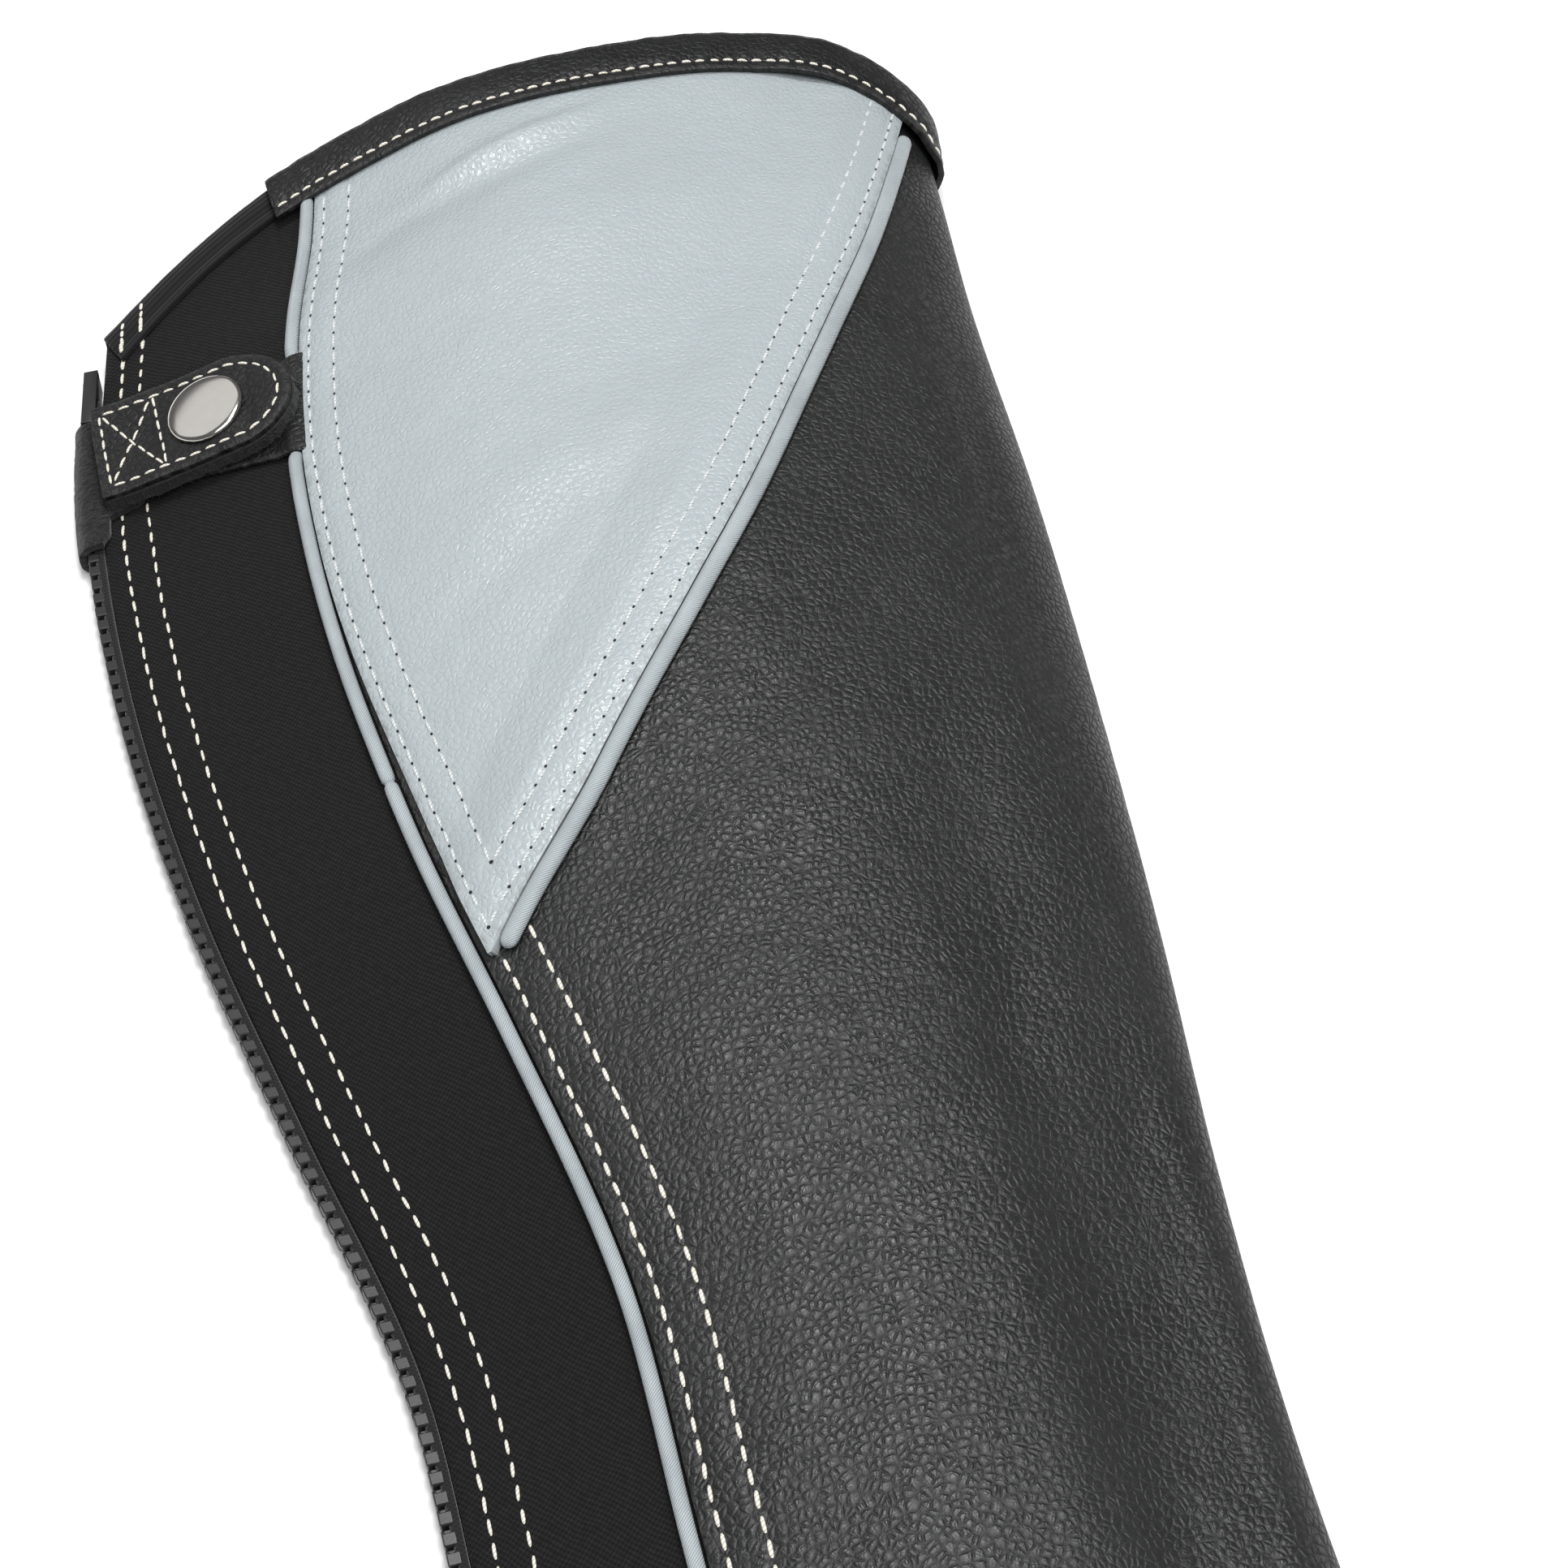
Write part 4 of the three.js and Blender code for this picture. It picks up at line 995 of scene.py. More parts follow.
def roll_cord(name, centre, up, radius, sides=14, flatten=1.0):
    """A cord along the points in centre, with rounded ends."""
    side = unit(np.cross(unit(np.gradient(centre, axis=0)), up))
    up = np.cross(side, unit(np.gradient(centre, axis=0)))
    run = run_along(centre)
    piece, column, row = flat_grid(name, sides, len(centre) - 1)
    angle = 2 * np.pi * column / sides
    from_end = np.minimum(run, run[-1] - run)
    inside = np.clip(1 - from_end / ROUND_END, 0, 1)
    size = (radius * np.sqrt(np.clip(1 - inside**2, 0.02, 1)))[row]
    points = (
        centre[row]
        + (size * np.cos(angle))[:, None] * side[row]
        + (size * flatten * np.sin(angle))[:, None] * up[row]
    )
    put_uv(piece, "cut", angle * radius, run[row])
    put_points(piece, points)
    face_outwards(piece, close=True)
    return piece


PIPING_RADIUS = 1.35
PIPING_OFFSET = PIPING_RADIUS + GAP


def beside(seam, distance):
    """A seam moved sideways, square to its own run."""
    def line(y):
        y = np.asarray(y, float)
        lean = girth(seam(y), y) * (seam(y + 1) - seam(y - 1)) / 2
        return moved(seam(y), y, distance * np.hypot(1, lean))
    return line


def lay_piping(name, node, line, low_y, high_y, offset, step=1.2, radius=PIPING_RADIUS,
               flatten=1.0):
    y = np.linspace(low_y, high_y, int((high_y - low_y) / step))
    # two rows close to each end give it a round tip
    y = np.sort(np.concatenate([y, [low_y + 0.15, low_y + 0.5, high_y - 0.15, high_y - 0.5]]))
    across = line(y)
    off = offset(y) if callable(offset) else offset
    piece = roll_cord(name, skin(across, y, off), skin_normal(across, y), radius,
                      flatten=flatten)
    wear(piece, [piping_cloth], 60)
    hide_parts(node)


def node_y(node):
    """Lowest and highest y of a node, in the pattern's frame."""
    low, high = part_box(node)
    return low[1] / MM - TO_PART[1], high[1] / MM - TO_PART[1]


back_line = beside(back_seam, -PIPING_OFFSET)
seated = CLOTH_TOP + PIPING_OFFSET
lay_piping("back_cord", "back_piping", back_line, *node_y("back_piping"), seated)
# the tab's base passes over the cord, so both of its neighbours run on under it
low_y, high_y = node_y("calf_back_piping_lower")
lay_piping("calf_back_cord_low", "calf_back_piping_lower", back_line, low_y - 0.8, high_y + 3,
           lambda y: seated - 1.3 * ease((y - high_y + 1.5) / 3))
low_y, high_y = node_y("calf_back_piping_upper")
lay_piping("calf_back_cord_high", "calf_back_piping_upper", back_line, low_y - 3, high_y + 2.5,
           lambda y: seated - 1.3 * ease((low_y + 1.5 - y) / 3))
lay_piping("calf_front_cord", "calf_front_piping", beside(calf_seam, PIPING_OFFSET + 0.1),
           CALF_TIP, node_y("calf_front_piping")[1], PIPING_OFFSET - 0.45, step=0.8,
           radius=1.7, flatten=0.72)

# %% The narrow strip of black leather between the cord and the calf panel
def strip_offset(across, y, left, right):
    return -0.75 - 0.3 * np.exp(-((left / 0.6) ** 2))


strip_low = calf_low + 0.004
seam_strip = lay_panel(
    "seam_strip", lambda y: moved(back_seam(y), y, -0.2), lambda y: moved(back_seam(y), y, 4.2),
    70, [0, 0.5, 1.0, 1.6], 3, strip_offset, 0.9, 0.3, low=strip_low, high=0.79)
wear(seam_strip, [black_leather, suede])

# %% [markdown]
# ## Bindings
# A binding is a strip folded over a raw edge. Its grid runs along the edge, and its columns
# go up the outer leg, over the edge and down the inner leg. The leather binding is pulled
# into small cross wrinkles by its stitches.

# %% Fold a strip over an edge
INNER_END = 1.985
TOP_LEG, HEM_LEG, CLOTH_LEG = 11.0, 10.0, 8.0
STITCH_IN = 2.6  # of the binding's stitches, from its cut edge
BINDING_STEP = 0.9
BINDING_LEG = np.array([1, 0.93, 0.86, 0.79, 0.72, 0.62, 0.5, 0.38, 0.25, 0.13, 0.04])
# across, offset of what lies under the outer leg, offset of what lies over the inner leg
TOP_STACK = np.array([
    (0.2, 0, CLOTH_BOTTOM), (0.335, 0, CLOTH_BOTTOM), (0.37, 0, -LEATHER),
    (0.78, 0, -LEATHER), (0.86, LEATHER + GAP, -LEATHER), (0.985, LEATHER + GAP, -LEATHER),
    (1.03, 0, -LEATHER), (1.06, 0, CLOTH_TOP - LEATHER), (1.18, 0, CLOTH_TOP - LEATHER),
    (1.22, 0, -LEATHER), (2, 0, -LEATHER),
])
HEM_STACK = np.array([
    (0, CLOTH_TOP, CLOTH_BOTTOM), (0.24, CLOTH_TOP, CLOTH_BOTTOM), (0.255, 0, CLOTH_BOTTOM),
    (0.37, 0, CLOTH_BOTTOM), (0.41, 0, -LEATHER), (1.06, 0, -LEATHER),
    (1.1, 0, CLOTH_TOP - LEATHER), (1.24, 0, CLOTH_TOP - LEATHER), (1.3, 0, -LEATHER),
    (2, 0, -LEATHER),
])
CLOTH_STACK = np.array([(0, CLOTH_TOP, CLOTH_BOTTOM), (2, CLOTH_TOP, CLOTH_BOTTOM)])


def edge_stations(edge, start, end):
    """Positions across at even distances along the edge."""
    fine = np.linspace(start, end, 1200)
    line = skin(fine, edge(fine), 0.0)
    run = run_along(line)
    count = int(run[-1] / BINDING_STEP)
    at = np.linspace(0, run[-1], count)
    return np.interp(at, run, fine), at


def edge_place(edge, direction, across, into):
    """Where a point lies that is some way into the panel from its edge."""
    edge_at = edge(across)
    step = 0.5 / girth(across, edge_at)
    slope = np.arctan2(edge(across + step) - edge(across - step), 1.0) * 0.6
    return (
        across + direction * into * np.sin(slope) / girth(across, edge_at),
        edge_at - direction * into * np.cos(slope),
    )


def fold_binding(name, edge, direction, start, end, stack, width, thickness, wrinkle):
    """A strip folded over an edge. stack says how high each leg lies, along the edge."""
    stations, run = edge_stations(edge, start, end)
    outer = np.interp(stations, stack[:, 0], stack[:, 1]) + GAP + thickness
    inner = np.interp(stations, stack[:, 0], stack[:, 2]) - GAP - thickness
    leg = BINDING_LEG * width
    bend = np.linspace(0, np.pi, 9)[1:-1]
    half = (outer - inner) / 2
    middle = (outer + inner) / 2
    count = 2 * len(leg) + len(bend)
    into = np.zeros((len(stations), count))
    off = np.zeros_like(into)
    into[:, :len(leg)] = leg
    off[:, :len(leg)] = outer[:, None]
    reach = np.minimum(half, thickness + GAP + 0.4)
    into[:, len(leg):-len(leg)] = -reach[:, None] * np.sin(bend)
    off[:, len(leg):-len(leg)] = middle[:, None] + half[:, None] * np.cos(bend)
    into[:, -len(leg):] = leg[::-1]
    off[:, -len(leg):] = inner[:, None]
    # the row of stitches pulls the outer leg down, and the leather puffs up above it
    from_edge = width - into[:, :len(leg)]
    off[:, :len(leg)] += row_of_stitches(from_edge, (STITCH_IN,), 0.28, 0.7)
    off[:, :len(leg)] += puffed(from_edge, STITCH_IN, width + 1, 0.3)
    off[:, :len(leg)] -= 0.2 * np.exp(-((from_edge / 0.6) ** 2))
    ripple = np.array([
        [noise.noise(Vector((s / 3.4, c * 0.24, 5.0))) + 0.5 * noise.noise(
            Vector((s / 1.6, c * 0.3, 9.0))) for c in range(count)]
        for s in run
    ])
    outwards = np.where(np.arange(count) < len(leg) + len(bend) // 2, 1.0, 0.35)
    off += wrinkle * ripple * outwards * (1 - np.exp(-((into - width) / 1.5) ** 2))
    if direction < 0:
        into, off = into[:, ::-1], off[:, ::-1]
    piece, column, row = flat_grid(name, len(stations) - 1, count - 1)
    at = (column, row)
    across, y = edge_place(edge, direction, stations[column], into[at])
    run_v = run_along(np.stack([into[0], off[0]], axis=1))
    put_uv(piece, "cut", run[column], run_v[row])
    put_uv(piece, "edge", run_v[row], run_v[-1] - run_v[row])
    put_points(piece, skin(across, y, off[at]))
    thicken(piece, thickness, 0.35, inside_slot=False)
    return piece


top_binding = fold_binding(
    "top_strip", top_y, 1, 0.2, INNER_END, TOP_STACK, TOP_LEG, BINDING_LEATHER, 0.2)
wear(top_binding, [binding_leather], 50)
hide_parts("top_binding")
hem_binding = fold_binding(
    "hem_strip", hem_y, -1, 0.015, INNER_END, HEM_STACK, HEM_LEG, BINDING_LEATHER, 0.16)
wear(hem_binding, [binding_leather], 50)
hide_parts("hem_binding")
cloth_binding = fold_binding(
    "elastic_strip", top_y, 1, 0.003, 0.199, CLOTH_STACK, CLOTH_LEG, 1.0, 0.05)
wear(cloth_binding, [elastic], 50)
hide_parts("cloth_binding")

# %% [markdown]
# ## Zip
# The zip is a chain of moulded teeth between two woven tapes. It lies along the very edge,
# so the photograph shows it side on, as a row of small blocks. One tooth is modelled: a
# block with a narrower nose that reaches between two teeth of the other tape. An Array
# modifier copies it, and each copy is then set in its place along the edge.

# %% Tapes and their corded edges
TAB_Y = 0.8874 * BODY_HEIGHT
TAB_SLOPE = 0.065
TAB_HALF = 12.0
ZIP_BOTTOM = 10.7
ZIP_TOP = TAB_Y + TAB_HALF + GAP
TAPE_END = BODY_HEIGHT - BACK_DROP - 11 - 4 * GAP
TAPE = 0.8
TAPE_WIDTH = 12.0
TAPE_COLUMNS, TAPE_ROWS = 10, 150


def lay_tape(name, node, near, far, top):
    piece, column, row = flat_grid(name, TAPE_COLUMNS, TAPE_ROWS)
    y = ZIP_BOTTOM + (TAPE_END - ZIP_BOTTOM) * row / TAPE_ROWS
    share = column / TAPE_COLUMNS
    put_uv(piece, "cut", share * TAPE_WIDTH, y)
    put_points(piece, skin(near(y) * (1 - share) + far(y) * share, y, top))
    thicken(piece, TAPE, 0.2, inside_slot=False)
    wear(piece, [tape_cloth])
    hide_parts(node)


lay_tape("tape_over", "zip_tape_outer", lambda y: moved(0.0, y, GAP),
         lambda y: moved(0.0, y, TAPE_WIDTH), TAPE_TOP)
lay_tape("tape_under", "zip_tape_inner", lambda y: moved(1.999, y, -TAPE_WIDTH),
         lambda y: moved(1.999, y, -GAP), -LEATHER - GAP)
CHAIN_HEIGHT = LEATHER + GAP + TAPE + GAP / 2  # of the middle of the closed chain


def along_zip(x, y, z):
    """Points beside the zip: x from the zip edge, z from the floor side of the leather."""
    return np.stack([zip_x(y) + x, y, z + end_lift(y)], axis=-1) + TO_PART


def lay_tape_cord(name, z):
    y = np.arange(ZIP_BOTTOM, TAPE_END, 1.6)
    up = np.tile([0.0, 0.0, 1.0], (len(y), 1))
    piece = roll_cord(name, along_zip(-0.45, y, z), up, 0.95, sides=10)
    wear(piece, [tape_cloth], 60)


lay_tape_cord("tape_cord_over", CHAIN_HEIGHT + 1.55)
lay_tape_cord("tape_cord_under", CHAIN_HEIGHT - 0.85)

# %% One tooth, copied along the chain
TOOTH_PITCH = 3.5


def select_faces(piece, wanted):
    """Selects the faces for which wanted(normal) is true, in edit mode."""
    select_only(piece)
    bpy.ops.object.mode_set(mode="EDIT")
    bpy.ops.mesh.select_all(action="DESELECT")
    bpy.ops.object.mode_set(mode="OBJECT")
    for face in piece.data.polygons:
        face.select = bool(wanted(face.normal))
    bpy.ops.object.mode_set(mode="EDIT")
    bpy.ops.mesh.select_mode(type="FACE")


def block(name, size, place):
    """A cube primitive at its size and place, in whole units that stand for millimetres."""
    piece = primitive(name, bpy.ops.mesh.primitive_cube_add, size=1, location=place, scale=size)
    bpy.ops.object.transform_apply(location=True, rotation=True, scale=True)
    return piece


def round_edges(piece, width, segments):
    bpy.ops.object.mode_set(mode="OBJECT")
    finish_modifier(piece, "BEVEL", width=width, segments=segments, limit_method="ANGLE",
                    angle_limit=math.radians(40))
    return piece


def model_tooth(name):
    """x out from the tape, y along the zip, z up. The nose points down, to the other tape."""
    tooth = block(name, (2.3, 2.25, 2.0), (1.15, 0, 1.2))
    select_faces(tooth, lambda normal: normal.z < -0.9)
    bpy.ops.mesh.inset(thickness=0.42)
    bpy.ops.mesh.extrude_region_move(TRANSFORM_OT_translate={"value": (0.12, 0, -1.15)})
    bpy.ops.transform.resize(value=(0.9, 0.72, 1), center_override=(1.25, 0, 0))
    return round_edges(tooth, 0.24, 1)


def many(piece, count):
    """count copies of a piece in one mesh, still all in one place, and each copy's number."""
    size = len(piece.data.vertices)
    finish_modifier(piece, "ARRAY", count=count, use_relative_offset=False,
                    use_constant_offset=True, constant_offset_displace=(0, 0, 0))
    return points_of(piece), np.arange(size * count) // size


def lay_teeth(name, upside, shift):
    tooth = model_tooth(name)
    y = np.arange(ZIP_BOTTOM + 1.5 + shift, ZIP_TOP - 1, TOOTH_PITCH)
    at, number = many(tooth, len(y))
    rng = np.random.default_rng(5)
    wobble = rng.normal(0, 0.04, (len(y), 3))[number]
    x = -GAP - at[:, 0] - 0.12 + wobble[:, 0]
    z = CHAIN_HEIGHT + 0.35 + upside * at[:, 2] + wobble[:, 2]
    put_points(tooth, along_zip(x, y[number] + at[:, 1] + wobble[:, 1], z))
    face_outwards(tooth)
    wear(tooth, [zip_plastic], 30)
    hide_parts("zip_teeth")


lay_teeth("teeth_over", 1, 0.0)
lay_teeth("teeth_under", -1, TOOTH_PITCH / 2)

# %% Slider
SLIDER_LENGTH = 13.5
SLIDER_Y = ZIP_TOP + GAP + SLIDER_LENGTH / 2


def model_slider():
    """A rounded block with a shallow hollow in its outer face and in each end."""
    slider = block("slider_body", (2.8, SLIDER_LENGTH, 6.4), (1.4, 0, 0))
    select_faces(slider, lambda normal: normal.x > 0.9)
    bpy.ops.mesh.inset(thickness=1.1)
    bpy.ops.mesh.extrude_region_move(TRANSFORM_OT_translate={"value": (-0.5, 0, 0)})
    bpy.ops.object.mode_set(mode="OBJECT")
    select_faces(slider, lambda normal: abs(normal.y) > 0.9)
    bpy.ops.mesh.inset(thickness=1.0)
    bpy.ops.mesh.extrude_region_move(TRANSFORM_OT_translate={"value": (0, 0, 0)})
    bpy.ops.transform.resize(value=(1, 0.93, 1), center_override=(0, 0, 0))
    return round_edges(slider, 0.75, 4)


slider = model_slider()
at = points_of(slider)
put_points(slider, along_zip(-GAP - at[:, 0], SLIDER_Y + at[:, 1], CHAIN_HEIGHT + 0.9 + at[:, 2]))
face_outwards(slider)
wear(slider, [slider_enamel], 40)
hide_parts("zip_slider")

# %% [markdown]
# ## Snap tab
# A short strap closes over the top of the zip. It has a leather face and a thick felt lining,
# and its snap goes through to a leather base that comes out from under the calf panel. Both
# layers start as a grid that takes the strap's outline: square at the zip, round at the end.

# %% The strap's outline
TAB_LENGTH = 40.0
TAB_START = float(zip_x(TAB_Y)) + 1.0
SNAP_ALONG = 23.6
BASE_TOP = CLOTH_TOP + GAP + 1.4
BACKING_BOTTOM = BASE_TOP + GAP
TAB_BOTTOM = BACKING_BOTTOM + 2.0 + GAP
TAB_TOP = TAB_BOTTOM + 1.6
TAB_COLUMNS, TAB_ROWS = 64, 36
STRAIGHT = 0.62  # share of the columns that lie before the rounded end
END_TURN = np.pi / 2 * 0.965  # the last column stops short of a single point


def tab_place(along, side):
    """Where a point of the tab lies on the skin: across and y."""
    y = TAB_Y - TAB_SLOPE * along + side
    return across_at(TAB_START + along, y), y


def on_tab(along, side, off):
    return skin(*tab_place(along, side), off)


def tab_border(along, side, radius, length):
    """Distance into the strap from its outline."""
    straight = np.minimum(radius - np.abs(side), along)
    turned = radius - np.hypot(along - (length - radius), side)
    return np.where(along < length - radius, straight, turned)


def lay_strap(name, top, thickness, inset, shape):
    radius, length = TAB_HALF - inset, TAB_LENGTH - inset
    piece, column, row = flat_grid(name, TAB_COLUMNS, TAB_ROWS)
    u, v = column / TAB_COLUMNS, 2 * row / TAB_ROWS - 1
    v = np.sign(v) * (1 - (1 - np.abs(v)) ** 1.25)
    turn = np.clip((u - STRAIGHT) / (1 - STRAIGHT), 0, 1) * END_TURN
    along = np.where(u < STRAIGHT, u / STRAIGHT * (length - radius),
                     length - radius + radius * np.sin(turn))
    side = v * radius * np.where(u < STRAIGHT, 1, np.cos(turn))
    border = tab_border(along, side, radius, length)
    put_uv(piece, "cut", along, side)
    put_uv(piece, "edge", border, border)
    put_points(piece, on_tab(along, side, top + shape(along, side, border)))
    thicken(piece, thickness, 0.45, inside_slot=False)
    return piece


def felt_lumps(u, v, coarse, fine, share, seeds):
    """Noise of two sizes; coarse and fine are bumps per millimetre."""
    first, second = seeds
    return np.array([
        noise.noise(Vector((a * coarse, b * coarse, first)))
        + share * noise.noise(Vector((a * fine, b * fine, second))) for a, b in zip(u, v)
    ])


def tab_face(along, side, border):
    sink = -0.16 * np.exp(-(((border - 2.3) / 0.6) ** 2)) - 0.25 * np.exp(-((border / 0.5) ** 2))
    under_snap = 0.3 * np.exp(-(np.hypot(along - SNAP_ALONG, side) / 9.5) ** 4)
    crease = -0.18 * np.exp(-(((along - 31.5 - 0.15 * side) / 1.3) ** 2))
    return sink + under_snap + crease + 0.12 * np.sin(along * 0.4) * np.cos(side * 0.3)


def felt_face(along, side, border):
    lump = felt_lumps(along, side, 0.9, 2.3, 0.6, (3.1, 8.1))
    return 0.13 * lump * np.exp(-((border / 2.5) ** 2)) * np.where(along > 34, 0.4, 1)


tab_leather = lay_strap("tab_leather", TAB_TOP, 1.6, 0, tab_face)
wear(tab_leather, [binding_leather])
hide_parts("snap_tab")
tab_felt = lay_strap("tab_felt", TAB_BOTTOM - 0.05, 2.35, -0.25, felt_face)
wear(tab_felt, [felt], 80)
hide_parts("tab_backing")

# %% Loose fibres on the edges of the felt
FIBRE_RADIUS = 0.045


def fringe_fibres(name, roots, outwards, length, slot, seed):
    """Thin three-sided spikes, each leaning its own way."""
    piece = primitive(name, bpy.ops.mesh.primitive_cone_add,
                      vertices=3, radius1=1, radius2=0.2, depth=1)
    name_cut_map(piece)
    at, number = many(piece, len(roots))
    rng = np.random.default_rng(seed)
    lean = unit(outwards + rng.normal(0, 0.55, roots.shape))
    side = unit(np.cross(lean, [0.3, 0.5, 0.8]))
    up = np.cross(side, lean)
    tall = (length * rng.uniform(0.35, 1.3, len(roots)))[number][:, None]
    put_points(piece, roots[number] + FIBRE_RADIUS * (at[:, :1] * side[number]
                                                      + at[:, 1:2] * up[number])
               + (at[:, 2:] + 0.4) * tall * lean[number])
    wear(piece, [felt], 80)


def felt_edge(count, seed):
    """Points and outward directions round the free edge of the tab's felt."""
    rng = np.random.default_rng(seed)
    radius, straight = TAB_HALF + 0.25, TAB_LENGTH - TAB_HALF
    at = rng.uniform(0, 2 * straight + np.pi * radius, count)
    turn = np.clip((at - straight) / radius, 0, np.pi) - np.pi / 2
    along = np.where(at < straight, at, np.where(
        at > straight + np.pi * radius, 2 * straight + np.pi * radius - at,
        straight + radius * np.cos(turn)))
    side = np.where(at < straight, -radius, np.where(
        at > straight + np.pi * radius, radius, radius * np.sin(turn)))
    roots = on_tab(along, side, rng.uniform(BACKING_BOTTOM + 0.1, TAB_BOTTOM - 0.1, count))
    beyond = on_tab(along + np.cos(turn) * (along > straight), side + np.sign(side) * 0.6, 1.2)
    return roots, unit(beyond - on_tab(along, side, 1.2))


fringe_fibres("tab_felt_fibres", *felt_edge(900, 21), 1.3, "felt", 22)

# %% The base under the tab, and the loop round the zip
BASE_LENGTH, BASE_WIDTH = 27.0, 26.0


def lay_base():
    """A strip from under the calf panel to under the snap, wider where it is sewn in."""
    columns, rows = 44, 26
    piece, column, row = flat_grid("tab_base_leather", columns, rows)
    share, up = column / columns, row / rows
    y = TAB_Y - 6 + 3 * (1 - share) + (up - 0.5) * (BASE_WIDTH - 9 * (1 - share))
    end = moved(back_seam(y), y, 1.2)
    across = moved(end, y, -(BASE_LENGTH + 0.2) * (1 - share))
    border = np.minimum(up, 1 - up) * BASE_WIDTH
    put_uv(piece, "cut", share * BASE_LENGTH, up * BASE_WIDTH)
    put_uv(piece, "edge", border, share * BASE_LENGTH)
    off = BASE_TOP - 0.12 * np.exp(-(((border - 2.2) / 0.7) ** 2))
    off = off - 0.25 * np.exp(-((border / 0.6) ** 2))
    # it passes over the cord, which shows through as a ridge
    off = off + 0.9 * np.exp(-(((across - back_line(y)) * girth(0.5, y) / 2.4) ** 2))
    put_points(piece, skin(across, y, off))
    thicken(piece, 1.3, 0.4, inside_slot=False)
    wear(piece, [binding_leather])
    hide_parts("tab_base")


# x from the zip edge, z from the floor, of the loop's outer face
LOOP_CURVE = np.array([
    (9.0, 8.85), (5.5, 8.3), (2.0, 7.85), (-0.8, 7.7), (-3.0, 7.0), (-4.3, 5.4),
    (-4.55, 3.6), (-4.2, 1.7), (-3.0, 0.35), (-1.6, 0.05), (-0.35, 0.0),
])
LOOP_LOW = TAB_Y - TAB_HALF - 8.0
LOOP_HIGH = TAB_Y + TAB_HALF


def lay_loop():
    run = run_along(LOOP_CURVE)
    columns, rows = 44, 40
    piece, column, row = flat_grid("loop_felt", columns, rows)
    share = row / rows
    y = LOOP_LOW + (LOOP_HIGH - LOOP_LOW) * share
    # below the tab the upper leg is short, and its corner is rounded off
    spare = 6.8 * ease((LOOP_LOW + 8.6 - y) / 2.4) + 1.6 * ease((LOOP_LOW + 3.0 - y) / 3.0)
    at = run[-1] - (run[-1] - spare) * column / columns
    x = smooth(np.stack([run, LOOP_CURVE[:, 0]], 1), at)
    z = smooth(np.stack([run, LOOP_CURVE[:, 1]], 1), at)
    lump = felt_lumps(at, y, 0.8, 2.1, 0.5, (1.7, 6.3))
    free = np.sin(np.pi * at / run[-1])
    bulge = 0.15 * np.sin(np.pi * share) + 0.2 * lump
    put_uv(piece, "cut", at, y)
    put_points(piece, along_zip(x - bulge * free, y, z))
    thicken(piece, 1.4, 0.4, inside_slot=False)
    wear(piece, [felt], 80)
    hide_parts("tab_loop")


lay_base()
lay_loop()

# %% Snap cap
# radius, height over the leather
SNAP_PROFILE = [
    (2.1, -4.4), (2.1, 0.0), (7.6, 0.0), (7.93, 0.18), (8.0, 0.45), (7.9, 0.78),
    (7.6, 1.02), (7.0, 1.2), (5.8, 1.36), (4.0, 1.5), (2.1, 1.58), (0.7, 1.6),
]


def turned(name, profile, segments):
    """A ring at the first radius, extruded ring by ring along the profile, closed at both ends."""
    radius, height = profile[0]
    piece = primitive(name, bpy.ops.mesh.primitive_circle_add, vertices=segments,
                      radius=radius, fill_type="NGON", location=(0, 0, height))
    bpy.ops.object.transform_apply(location=True, rotation=True, scale=True)
    bpy.ops.object.mode_set(mode="EDIT")
    bpy.ops.mesh.select_all(action="SELECT")
    for next_radius, next_height in profile[1:]:
        bpy.ops.mesh.extrude_region_move(
            TRANSFORM_OT_translate={"value": (0, 0, next_height - height)})
        grow = next_radius / radius
        bpy.ops.transform.resize(value=(grow, grow, 1), center_override=(0, 0, next_height))
        radius, height = next_radius, next_height
    face_outwards(piece)
    return piece


snap = turned("snap_metal_cap", SNAP_PROFILE, 72)
at = points_of(snap)
snap_place = tab_place(SNAP_ALONG, 0.0)
snap_normal = skin_normal(*snap_place)
snap_foot = skin(*snap_place, TAB_TOP + 0.32)
side = unit(np.cross([0.0, 1.0, 0.0], snap_normal))
ahead = np.cross(snap_normal, side)
put_points(snap, snap_foot + at[:, :1] * side + at[:, 1:2] * ahead + at[:, 2:] * snap_normal)
wear(snap, [nickel], 35)
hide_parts("snap_cap")

# %% [markdown]
# ## Stitches
# Every seam is sewn with a thick cream thread, in double rows. One stitch is modelled, a
# short round-ended length of thread that arches up and dives into its needle holes. It is
# copied along each row, and every copy gets its own small error, as from a real machine.

# %% One stitch, and a row of them
def model_stitch(name):
    """A sphere's rings drawn out along z into a capsule from -1 to 1."""
    stitch = primitive(name, bpy.ops.mesh.primitive_uv_sphere_add,
                       segments=8, ring_count=6, radius=1)
    name_cut_map(stitch)
    at = points_of(stitch)
    round_part = np.hypot(at[:, 0], at[:, 1])
    full = np.sqrt(np.maximum(1 - at[:, 2] ** 4, 0))
    at[:, :2] *= np.where(round_part > 1e-6, full / np.maximum(round_part, 1e-6), 0)[:, None]
    stitch.data.vertices.foreach_set("co", at.astype(np.float32).ravel())
    return stitch


